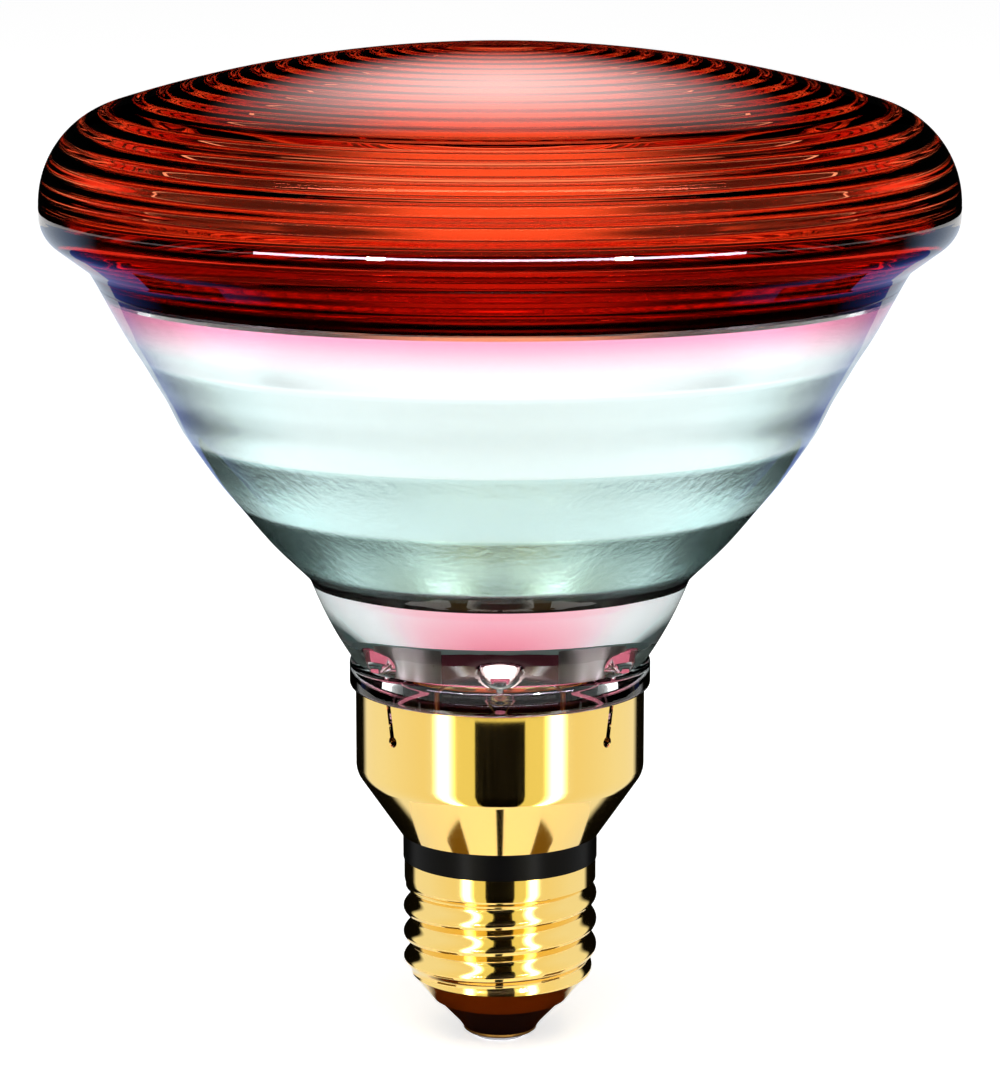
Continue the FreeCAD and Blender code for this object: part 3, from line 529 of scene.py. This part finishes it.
rise = add(winding, "ShaderNodeMath", {"operation": "MULTIPLY_ADD"}, {
    0: upward.outputs[0], 1: given.outputs["Coil Radius"], 2: given.outputs["Height"]})
loop = add(winding, "ShaderNodeCombineXYZ", links={"X": reach.outputs[0], "Z": rise.outputs[0]})
bend = add(winding, "ShaderNodeMath", {"operation": "MULTIPLY_ADD", 1: math.pi, 2: math.pi},
           {0: along.outputs["Factor"]})
bent = add(winding, "ShaderNodeVectorRotate", {"rotation_type": "Z_AXIS"},
           {"Vector": loop.outputs["Vector"], "Angle": bend.outputs[0]})
wound = add(winding, "GeometryNodeSetPosition", links={
    "Geometry": finely.outputs["Curve"], "Position": bent.outputs["Vector"]})
section = add(winding, "GeometryNodeCurvePrimitiveCircle", {"Resolution": 8},
              {"Radius": given.outputs["Wire Radius"]})
wire = add(winding, "GeometryNodeCurveToMesh", {"Fill Caps": True}, {
    "Curve": wound.outputs["Geometry"], "Profile Curve": section.outputs["Curve"]})
real = add(winding, "GeometryNodeRealizeInstances", links={"Geometry": wire.outputs["Mesh"]})
dressed = add(winding, "GeometryNodeSetMaterial", {"Material": tungsten_finish},
              {"Geometry": real.outputs["Geometry"]})
add(winding, "NodeGroupOutput", links={"Geometry": dressed.outputs["Geometry"]})
carrier = bpy.data.objects.new("coil_carrier", bpy.data.meshes.new("coil_carrier"))
bpy.context.scene.collection.objects.link(carrier)
winder = carrier.modifiers.new("winding", "NODES")
winder.node_group = winding
for name, value in sizes.items():
    winder[sockets[name]] = value
bpy.context.view_layer.update()
coil_mesh = bpy.data.meshes.new_from_object(carrier.evaluated_get(bpy.context.evaluated_depsgraph_get()))
bpy.data.objects.remove(carrier)
coil_mesh.shade_smooth()
coil = bpy.data.objects.new("wound_filament", coil_mesh)
bpy.context.scene.collection.objects.link(coil)
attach(coil, "root")
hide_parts("filament")


# Wiring in the cap: a lead from one ferrule runs through a fuse, in a glass sleeve, down to the
# contact's eyelet. A second lead joins the other ferrule to the shell, where solder holds it.

dress(tube_finish, "fuse_sleeve")

# Copper-clad lead wire, softened by the welding flame
copper_finish, tree = new_finish("copper_clad_wire")
place = add(tree, "ShaderNodeTexCoord")
scale = add(tree, "ShaderNodeTexNoise", {"Scale": 1 / (0.8 * MM)}, {"Vector": place.outputs["Object"]})
scaled_and_shaded = add(tree, "ShaderNodeMapRange", {"To Min": 0.25, "To Max": 0.4}, {"Value": scale.outputs["Fac"]})
copper = add(tree, "ShaderNodeBsdfPrincipled", {
    "Base Color": linear("#B8703F"), "Metallic": 1.0}, {"Roughness": scaled_and_shaded.outputs["Result"]})
add(tree, "ShaderNodeOutputMaterial", links={"Surface": copper.outputs["BSDF"]})
dress(copper_finish, "centre_lead_upper", "centre_lead_lower", "side_lead", "fuse_wire")


# Front lens: a dome of ruby glass, pressed with ring ribs on its inside. Its brim is rounded and
# thick, and its underside is fused to the bowl's rim all the way round.

lens_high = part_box("front_lens")[1]
LENS_RADIUS = lens_high.x / MM
LENS_WIDEST = 115.0
DOME_RADIUS = 172.0
SHOULDER_RADIUS = 13.3
BRIM_RADIUS = 4.5
BRIM_LAND = 1.4
LAND_BULGE = 8.0
LAND_SWELL = 0.035
UNDERSIDE = (4.4, 3.3)
LENS_THICKNESS = 3.6
RIBS = 14
RIB_DEPTH = 0.34
RIB_START = 5.8
SHOULDER_RINGS = 5
WALL_RINGS = 5
RING_DEPTH = 0.5
lens_top = lens_high.z / MM
dome_centre = lens_top - DOME_RADIUS
shoulder_reach = LENS_RADIUS - SHOULDER_RADIUS
dome_edge_radius = shoulder_reach * DOME_RADIUS / (DOME_RADIUS - SHOULDER_RADIUS)
dome_edge = (dome_edge_radius, dome_centre + math.sqrt(DOME_RADIUS ** 2 - dome_edge_radius ** 2))
brim_top = LENS_WIDEST - BRIM_LAND
underside_length = math.hypot(*UNDERSIDE)
brim_low = (LENS_RADIUS - BRIM_RADIUS + BRIM_RADIUS * UNDERSIDE[1] / underside_length,
            brim_top - BRIM_RADIUS * UNDERSIDE[0] / underside_length)
underside_foot = (brim_low[0] - UNDERSIDE[0], brim_low[1] - UNDERSIDE[1])
seam_outer = paraboloid(OUTER_FOCUS, OUTER_APEX, seam)
seam_inner = paraboloid(MIRROR_FOCUS, MIRROR_APEX, seam)
inner_dome = DOME_RADIUS - LENS_THICKNESS
inner_shoulder = SHOULDER_RADIUS - LENS_THICKNESS
inner_edge = shoulder_reach * inner_dome / (DOME_RADIUS - SHOULDER_RADIUS)
rib_pitch = (inner_edge - RIB_START) / (RIBS + 0.5)


def ribbed(radius):
    """A point of the lens's inside, which hangs down in smooth ring ribs."""
    height = dome_centre + math.sqrt(inner_dome ** 2 - radius ** 2)
    if RIB_START < radius < inner_edge - rib_pitch / 2:
        height -= RIB_DEPTH * wave((radius - RIB_START) / rib_pitch)
    return (radius, height)


def shoulder_ring(share):
    """A point of the inside shoulder, in narrow rings, from the dome down to the widest line."""
    angle = math.acos(shoulder_reach / (DOME_RADIUS - SHOULDER_RADIUS)) * (1 - share)
    reach = inner_shoulder - RING_DEPTH * wave(SHOULDER_RINGS * share)
    return (shoulder_reach + reach * math.cos(angle), LENS_WIDEST + reach * math.sin(angle))


def wall_ring(share):
    """A point of the inside wall, in the same rings, from the brim in to the seam."""
    radius = LENS_RADIUS - LENS_THICKNESS + (seam_inner - LENS_RADIUS + LENS_THICKNESS) * share
    return (radius - RING_DEPTH * wave(WALL_RINGS * share), brim_top + (seam - brim_top) * share)


JOIN = 0.02
WAVE_STEPS = 9
LAND_RADIUS = LENS_RADIUS - LAND_SWELL
rib_steps = WAVE_STEPS * RIBS
lens_outline = (
    [(seam_inner, seam - JOIN), (seam_outer, seam - JOIN)]
    + run((seam_outer, seam), underside_foot, 6)
    + run(underside_foot, brim_low, 4)
    + arc(brim_low, (LAND_RADIUS, brim_top), BRIM_RADIUS, 1, 14)
    + arc((LAND_RADIUS, brim_top), (LAND_RADIUS, LENS_WIDEST), LAND_BULGE, 1, 8)
    + arc((LAND_RADIUS, LENS_WIDEST), dome_edge, SHOULDER_RADIUS, 1, 28)
    + arc(dome_edge, (0, lens_top), DOME_RADIUS, 1, 30)
    + [(0, lens_top), ribbed(0), ribbed(RIB_START / 2)]
    + [ribbed(RIB_START + (inner_edge - RIB_START) * step / rib_steps) for step in range(rib_steps)]
    + [shoulder_ring(step / (WAVE_STEPS * SHOULDER_RINGS)) for step in range(WAVE_STEPS * SHOULDER_RINGS)]
    + [wall_ring(step / (WAVE_STEPS * WALL_RINGS)) for step in range(WAVE_STEPS * WALL_RINGS)])
lens = lathe("ruby_lens", lens_outline, 300)

# Ruby glass, pressed and fire-polished: red through its depth, so the thin dome glows orange-red
# and the thick brim goes dark. Its colour is painted as well: darker down the brim, for the thick glass and
# as painted shade, and bright orange near the top, a painted glow
ruby_finish, tree = new_finish("ruby_glass")
place = add(tree, "ShaderNodeTexCoord")
lens_wave = add(tree, "ShaderNodeTexNoise", {"Scale": 1 / (12 * MM), "Detail": 0.0},
                {"Vector": place.outputs["Object"]})
lens_wavy = add(tree, "ShaderNodeBump", {"Strength": 0.08, "Distance": 0.1 * MM},
                {"Height": lens_wave.outputs["Fac"]})
height = add(tree, "ShaderNodeSeparateXYZ", links={"Vector": place.outputs["Object"]})
# Painted light: the colour follows height, near black at the seam, dark red down the brim, bright orange
# near the top
RUBY_LOW = 104.0
RUBY_HIGH = 120.0
RUBY_GLOW_AND_SHADE = [(104.6, "#200302"), (106.8, "#A82418"), (112.5, "#B42A1A"), (117.5, "#FF9A70")]
ruby_rise = add(tree, "ShaderNodeMapRange", {"From Min": RUBY_LOW * MM, "From Max": RUBY_HIGH * MM},
            {"Value": height.outputs["Z"]})
ruby_glow_and_shade = add(tree, "ShaderNodeValToRGB", links={"Fac": ruby_rise.outputs["Result"]},
                stops=[((level - RUBY_LOW) / (RUBY_HIGH - RUBY_LOW), linear(code))
                       for level, code in RUBY_GLOW_AND_SHADE])
ruby = add(tree, "ShaderNodeBsdfPrincipled", {
    "Roughness": 0.0, "IOR": 1.49, "Transmission Weight": 1.0, "Specular IOR Level": 0.35},
    {"Base Color": ruby_glow_and_shade.outputs["Color"], "Normal": lens_wavy.outputs["Normal"]})
depth = add(tree, "ShaderNodeVolumeAbsorption", {"Color": linear("#FDA050"), "Density": 78.0})
add(tree, "ShaderNodeOutputMaterial", links={
    "Surface": ruby.outputs["BSDF"], "Volume": depth.outputs["Volume"]})
lens.data.materials.append(ruby_finish)
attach(lens, "root")
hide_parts("front_lens")


# Studio: a pale table, a key box in front, a box overhead, and black, white and coloured cards
# round the lamp. The cards are seen only in reflections and through the glass.

# White paper table: lifted to white for the camera and a little for mirrors and glass, and left
# plain for the lamp's own shadow
floor_mesh = bpy.data.meshes.new("table")
TABLE_REACH = 6.0
floor_mesh.from_pydata(
    [(TABLE_REACH * side, TABLE_REACH * way, 0) for side, way in ((-1, -1), (1, -1), (1, 1), (-1, 1))],
    [], [(0, 1, 2, 3)])
floor = bpy.data.objects.new("table", floor_mesh)
bpy.context.scene.collection.objects.link(floor)
floor_finish, tree = new_finish("white_table")
rays = add(tree, "ShaderNodeLightPath")
paper = add(tree, "ShaderNodeBsdfDiffuse", {"Color": linear("#E6E6E6")})
seen = add(tree, "ShaderNodeMath", {"operation": "MULTIPLY", 1: 0.62}, {0: rays.outputs["Is Camera Ray"]})
glanced = add(tree, "ShaderNodeMath", {"operation": "MULTIPLY_ADD", 1: 0.45},
              {0: rays.outputs["Is Glossy Ray"], 2: seen.outputs[0]})
lifted = add(tree, "ShaderNodeMath", {"operation": "MULTIPLY_ADD", 1: 0.47},
             {0: rays.outputs["Is Transmission Ray"], 2: glanced.outputs[0]})
lift = add(tree, "ShaderNodeEmission", {"Color": linear("#FFFFFF")}, {"Strength": lifted.outputs[0]})
both = add(tree, "ShaderNodeAddShader", links={0: paper.outputs["BSDF"], 1: lift.outputs["Emission"]})
add(tree, "ShaderNodeOutputMaterial", links={"Surface": both.outputs["Shader"]})
floor_mesh.materials.append(floor_finish)


def hide_from_view(thing):
    """Leave a card to reflections and to the view through glass."""
    thing.visible_camera = False
    thing.visible_diffuse = False
    thing.visible_shadow = False
    bpy.context.scene.collection.objects.link(thing)


CARD_STEPS = 24


def sweep_card(name, finish, edges, first, last):
    """A card swept about the lamp between two edges, each a (distance, height), and two azimuths.

    Azimuths are in degrees from the front; distances and heights are in metres.
    """
    corners = []
    for step in range(CARD_STEPS + 1):
        turn = math.radians(first + (last - first) * step / CARD_STEPS)
        corners += [(math.sin(turn) * reach, -math.cos(turn) * reach, height) for reach, height in edges]
    faces = [(2 * step, 2 * step + 2, 2 * step + 3, 2 * step + 1) for step in range(CARD_STEPS)]
    mesh = bpy.data.meshes.new(name)
    mesh.from_pydata(corners, [], faces)
    mesh.materials.append(finish)
    hide_from_view(bpy.data.objects.new(name, mesh))


def curtain(name, finish, distance, first, last, foot, top):
    """An upright curved card, from foot to top."""
    sweep_card(name, finish, [(distance, foot), (distance, top)], first, last)


def ground_patch(name, finish, near, far, first, last, height=0.0005):
    """A level card, from near to far."""
    sweep_card(name, finish, [(near, height), (far, height)], first, last)


# Black felt cards: dark edges on the brass and on the lens's shoulders, a dark sky over the
# dome, and a thin dark line down the skirt's cone
card_finish, tree = new_finish("black_felt")
felt = add(tree, "ShaderNodeBsdfDiffuse", {"Color": linear("#040404")})
add(tree, "ShaderNodeOutputMaterial", links={"Surface": felt.outputs["BSDF"]})
curtain("back_card", card_finish, 0.10, 122, 238, 0.0, 0.05)
curtain("left_card", card_finish, 0.3, -152, -98, 0.11, 0.6)
curtain("right_card", card_finish, 0.3, 98, 152, 0.11, 0.6)
CANOPY_TOP = 1.4
curtain("canopy", card_finish, 0.9, 0, 360, 0.02, CANOPY_TOP)
ground_patch("left_shade", card_finish, 0.06, 0.13, -150, -112)
ground_patch("right_shade", card_finish, 0.06, 0.13, 112, 150)
ground_patch("sliver_card", card_finish, 0.0142, 0.026, -4, 4, 0.001)
ceiling = bpy.data.meshes.new("ceiling")
ceiling.from_pydata([(-1, -1, CANOPY_TOP), (1, -1, CANOPY_TOP), (1, 1, CANOPY_TOP), (-1, 1, CANOPY_TOP)],
                    [], [(0, 1, 2, 3)])
ceiling.materials.append(card_finish)
hide_from_view(bpy.data.objects.new("ceiling", ceiling))


def lit_card(name, colour, strength):
    """A plain glowing finish for a card."""
    finish, tree = new_finish(name)
    light = add(tree, "ShaderNodeEmission", {"Color": linear(colour), "Strength": strength})
    add(tree, "ShaderNodeOutputMaterial", links={"Surface": light.outputs["Emission"]})
    return finish


# Lit cards on the table: a bright patch on each side of the bowl's bands, and pale ground before
# and beside the lamp
side_white = lit_card("side_white", "#F4FBFB", 2.3)
ground_patch("left_white", side_white, 0.1, 0.2, -120, -80, 0.001)
ground_patch("right_white", side_white, 0.1, 0.2, 80, 120, 0.001)
pale_ground = lit_card("pale_ground", "#F0F4F4", 0.85)
ground_patch("pale_ground", pale_ground, 0.15, 0.85, -100, 100, 0.0006)


def swing(tree):
    """The azimuth about the lamp, either way round, from 0 in front to 1 behind."""
    place = add(tree, "ShaderNodeTexCoord")
    parts = add(tree, "ShaderNodeSeparateXYZ", links={"Vector": place.outputs["Object"]})
    forward = add(tree, "ShaderNodeMath", {"operation": "MULTIPLY", 1: -1.0}, {0: parts.outputs["Y"]})
    turn = add(tree, "ShaderNodeMath", {"operation": "ARCTAN2"},
               {0: parts.outputs["X"], 1: forward.outputs[0]})
    either = add(tree, "ShaderNodeMath", {"operation": "ABSOLUTE"}, {0: turn.outputs[0]})
    share = add(tree, "ShaderNodeMath", {"operation": "DIVIDE", 1: math.pi}, {0: either.outputs[0]})
    return share.outputs[0]


def glanced_only(name, tones):
    """A ground that only skin reflections see, in one tone after another round to the back."""
    finish, tree = new_finish(name)
    rays = add(tree, "ShaderNodeLightPath")
    unlit = add(tree, "ShaderNodeBsdfTransparent")
    tone = add(tree, "ShaderNodeValToRGB", links={"Fac": swing(tree)},
               stops=[(azimuth / 180, linear(code)) for azimuth, code in tones])
    lit = add(tree, "ShaderNodeEmission", links={"Color": tone.outputs["Color"]})
    mirrored = add(tree, "ShaderNodeMath", {"operation": "SUBTRACT", "use_clamp": True},
                   {0: rays.outputs["Is Glossy Ray"], 1: rays.outputs["Is Transmission Ray"]})
    shown = add(tree, "ShaderNodeMixShader", links={
        0: mirrored.outputs[0], 1: unlit.outputs["BSDF"], 2: lit.outputs["Emission"]})
    add(tree, "ShaderNodeOutputMaterial", links={"Surface": shown.outputs["Shader"]})
    return finish


# Ground for the glass's skin alone: violet near the lamp, under the brim, and pale farther back,
# along the bowl's edges. A dark lid covers the collar in the brim's reflection
violet_ground = glanced_only("violet_ground", [
    (0, "#040404"), (112, "#040404"), (140, "#4254A8"), (158, "#8494D8"), (170, "#CAD6F2"),
    (180, "#DCE6F6")])
ground_patch("violet_ground", violet_ground, 0.045, 0.31, 0, 360, 0.0016)
far_ground = glanced_only("far_ground", [
    (0, "#040404"), (112, "#040404"), (126, "#A8BCE0"), (145, "#D0DCEE"), (180, "#DCE6F4")])
ground_patch("far_ground", far_ground, 0.31, 0.85, 0, 360, 0.0016)
dark_lid = glanced_only("dark_lid", [(0, "#040404"), (180, "#040404")])
ground_patch("dark_lid", dark_lid, 0.024, 0.05, 0, 360, 0.0505)

# Two olive cards that the skirt's cone reflects
olive_card = lit_card("olive_card", "#C09030", 0.35)
ground_patch("left_olive", olive_card, 0.0155, 0.023, -72, -46, 0.001)
ground_patch("right_olive", olive_card, 0.0155, 0.023, 46, 72, 0.001)

# Strip light and two small bright lamps before the lens: the line and sparkles along its brim
brim_line = lit_card("brim_line", "#F0DCF8", 32.0)
curtain("brim_strip", brim_line, 0.36, -56, 56, 0.07, 0.09)
brim_spark = lit_card("brim_spark", "#FFFFFF", 700.0)
curtain("left_spark", brim_spark, 0.355, -29, -25, 0.067, 0.093)
curtain("right_spark", brim_spark, 0.355, 25, 29, 0.067, 0.093)


def one_sided(tree, shader):
    """Let a card be seen from its inner side, and clear from its outer one."""
    side = add(tree, "ShaderNodeNewGeometry")
    unlit = add(tree, "ShaderNodeBsdfTransparent")
    shown = add(tree, "ShaderNodeMixShader", links={
        0: side.outputs["Backfacing"], 1: unlit.outputs["BSDF"], 2: shader})
    add(tree, "ShaderNodeOutputMaterial", links={"Surface": shown.outputs["Shader"]})


# Paper collar round the cap, lit from its inner side: a white stripe each side of a yellow
# front, dark farther round, and pale behind. Its lid is swept backwards, to face down
collar_finish, tree = new_finish("lit_collar")
around = swing(tree)
COLLAR_TONES = [(0, "#F8F0B0"), (24, "#F8F0B0"), (34, "#FFFFFF"), (46, "#FFF6D8"), (80, "#FFFFFF"),
                (103, "#FFFFFF"), (110, "#0A0804"), (158, "#0A0804"), (163, "#FFF6D8")]
STRIPE_AZIMUTH = 33
STRIPE_SPREAD = 8.5
paper = add(tree, "ShaderNodeValToRGB", links={"Fac": around},
            stops=[(azimuth / 180, linear(code)) for azimuth, code in COLLAR_TONES])
offset = add(tree, "ShaderNodeMath", {"operation": "SUBTRACT", 1: STRIPE_AZIMUTH / 180}, {0: around})
beside = add(tree, "ShaderNodeMath", {"operation": "ABSOLUTE"}, {0: offset.outputs[0]})
stripe = add(tree, "ShaderNodeMapRange", {
    "interpolation_type": "SMOOTHSTEP", "From Min": STRIPE_SPREAD / 180, "From Max": 0.0,
    "To Min": 0.97, "To Max": 7.0}, {"Value": beside.outputs[0]})
lit = add(tree, "ShaderNodeEmission", links={
    "Color": paper.outputs["Color"], "Strength": stripe.outputs["Result"]})
one_sided(tree, lit.outputs["Emission"])
curtain("collar", collar_finish, 0.036, -180, 180, 0.0, 0.0455)
ground_patch("collar_lid", collar_finish, 0.0215, 0.036, 180, -180, 0.0455)

# Black felt card before the cap, facing it: the tall dark bar on the skirt
facing_card, tree = new_finish("facing_felt")
felt = add(tree, "ShaderNodeBsdfDiffuse", {"Color": linear("#040404")})
one_sided(tree, felt.outputs["BSDF"])
curtain("front_card", facing_card, 0.034, -14, 14, 0.0, 0.0453)
ground_patch("front_lid", facing_card, 0.0215, 0.035, 12, -12, 0.0452)

# Bright hood overhead, for light that comes back out through the glass and for nothing else,
# darker to the left and right so that the dome's sides go deep
HOOD_TONES = [(0, "#FFFFFF"), (40, "#FFFFFF"), (75, "#181818"), (105, "#181818"), (140, "#FFFFFF")]
hood_finish, tree = new_finish("bright_hood")
rays = add(tree, "ShaderNodeLightPath")
through = add(tree, "ShaderNodeMath", {"operation": "MULTIPLY", 1: 1.5},
              {0: rays.outputs["Is Transmission Ray"]})
tone = add(tree, "ShaderNodeValToRGB", links={"Fac": swing(tree)},
           stops=[(azimuth / 180, linear(code)) for azimuth, code in HOOD_TONES])
hood = add(tree, "ShaderNodeEmission", links={
    "Color": tone.outputs["Color"], "Strength": through.outputs[0]})
add(tree, "ShaderNodeOutputMaterial", links={"Surface": hood.outputs["Emission"]})
curtain("hood", hood_finish, 0.85, 0, 360, 0.42, 1.2)
ground_patch("hood_top", hood_finish, 0.0, 0.85, 0, 360, 1.2)

# Soft patch of light behind the lamp that glances off the top of the dome
GLOW_WIDTH = 0.2
GLOW_HEIGHT = 0.52
GLOW_RISE = 0.26
glow_finish, tree = new_finish("glow_patch")
place = add(tree, "ShaderNodeTexCoord")
parts = add(tree, "ShaderNodeSeparateXYZ", links={"Vector": place.outputs["Object"]})
wide = add(tree, "ShaderNodeMath", {"operation": "MULTIPLY", 1: 1 / GLOW_WIDTH}, {0: parts.outputs["X"]})
tall = add(tree, "ShaderNodeMapRange", {
    "From Min": GLOW_HEIGHT, "From Max": GLOW_HEIGHT + GLOW_RISE, "clamp": False},
    {"Value": parts.outputs["Z"]})
oval = add(tree, "ShaderNodeCombineXYZ", links={"X": wide.outputs[0], "Y": tall.outputs["Result"]})
reach = add(tree, "ShaderNodeVectorMath", {"operation": "LENGTH"}, {0: oval.outputs["Vector"]})
fall = add(tree, "ShaderNodeMapRange", {
    "interpolation_type": "SMOOTHSTEP", "From Min": 0.0, "From Max": 1.0, "To Min": 3.2, "To Max": 0.0},
    {"Value": reach.outputs["Value"]})
glow = add(tree, "ShaderNodeEmission", {"Color": linear("#FFE0DC")}, {"Strength": fall.outputs["Result"]})
add(tree, "ShaderNodeOutputMaterial", links={"Surface": glow.outputs["Emission"]})
curtain("glow_patch", glow_finish, 0.7, 155, 205, 0.22, 0.8)

# Round shade on the table: the bowl's lower bands and the shell's lip reflect it
pad_finish, tree = new_finish("round_shade")
place = add(tree, "ShaderNodeTexCoord")
away = add(tree, "ShaderNodeVectorMath", {"operation": "LENGTH"}, {0: place.outputs["Object"]})
PAD_RADIUS = 0.1
shade = add(tree, "ShaderNodeMapRange", {"From Max": PAD_RADIUS}, {"Value": away.outputs["Value"]})
SHADES = [(0.0, 1.0), (0.125, 1.0), (0.15, 0.0), (0.36, 0.0), (0.5, 0.15), (0.85, 0.0)]
fade = add(tree, "ShaderNodeValToRGB", links={"Fac": shade.outputs["Result"]},
           stops=[(share, (dark, dark, dark, 1)) for share, dark in SHADES])
pad = add(tree, "ShaderNodeBsdfDiffuse", {"Color": linear("#5A2808")})
clear_pad = add(tree, "ShaderNodeBsdfTransparent")
faded = add(tree, "ShaderNodeMixShader", links={
    0: fade.outputs["Color"], 1: clear_pad.outputs["BSDF"], 2: pad.outputs["BSDF"]})
add(tree, "ShaderNodeOutputMaterial", links={"Surface": faded.outputs["Shader"]})
ground_patch("round_shade", pad_finish, 0.0, PAD_RADIUS, 0, 360)


# Soft boxes: plain white light from the front and from above, kept out of reflections

def soft_box(name, width, height, place, aim, power):
    """A rectangular area lamp at a place, turned to face an aim point."""
    lamp = bpy.data.lights.new(name, "AREA")
    lamp.shape = "RECTANGLE"
    lamp.size = width
    lamp.size_y = height
    lamp.energy = power
    made = bpy.data.objects.new(name, lamp)
    bpy.context.scene.collection.objects.link(made)
    made.location = place
    line = [goal - start for goal, start in zip(aim, place)]
    level = math.hypot(line[0], line[1])
    made.rotation_euler = (math.pi / 2 + math.atan2(line[2], level), 0, math.atan2(-line[0], line[1]))
    made.visible_glossy = False
    made.visible_transmission = False


soft_box("key_box", 0.8, 0.55, (0, -0.5, 0.86), (0, 0, 0.12), 4.0)
soft_box("overhead_box", 0.5, 0.5, (0, 0.1, 1.0), (0, 0, 0), 5.0)

# White surround: full white where it is looked at, mirrored or seen through glass, and less than
# half as strong where it lights the lamp
world = bpy.data.worlds.new("white_surround")
bpy.context.scene.world = world
world.use_nodes = True
world.node_tree.nodes.clear()
tree = world.node_tree
rays = add(tree, "ShaderNodeLightPath")
mirrored = add(tree, "ShaderNodeMath", {"operation": "MAXIMUM"},
               {0: rays.outputs["Is Camera Ray"], 1: rays.outputs["Is Glossy Ray"]})
seen = add(tree, "ShaderNodeMath", {"operation": "MAXIMUM"},
           {0: mirrored.outputs[0], 1: rays.outputs["Is Transmission Ray"]})
level = add(tree, "ShaderNodeMapRange", {"To Min": 0.45, "To Max": 1.0}, {"Value": seen.outputs[0]})
sky = add(tree, "ShaderNodeBackground", {"Color": linear("#FFFFFF")}, {"Strength": level.outputs["Result"]})
add(tree, "ShaderNodeOutputWorld", links={"Surface": sky.outputs["Background"]})

# Camera: level with a point just above the lens, tipped down so that the dome's top shows
CAMERA_PLACE = (0.0, -0.488, 0.167)
CAMERA_PITCH = 11.3
FOCAL_PIXELS = 3709.0
PHOTO_HEIGHT = 1076
lens_data = bpy.data.cameras.new("photo_camera")
lens_data.sensor_fit = "VERTICAL"
lens_data.sensor_height = 36.0
lens_data.lens = FOCAL_PIXELS * 36.0 / PHOTO_HEIGHT
lens_data.clip_start = 0.01
camera = bpy.data.objects.new("photo_camera", lens_data)
bpy.context.scene.collection.objects.link(camera)
camera.location = CAMERA_PLACE
camera.rotation_euler = (math.radians(90 - CAMERA_PITCH), 0, 0)
bpy.context.scene.camera = camera
bpy.context.scene.view_settings.view_transform = "Standard"
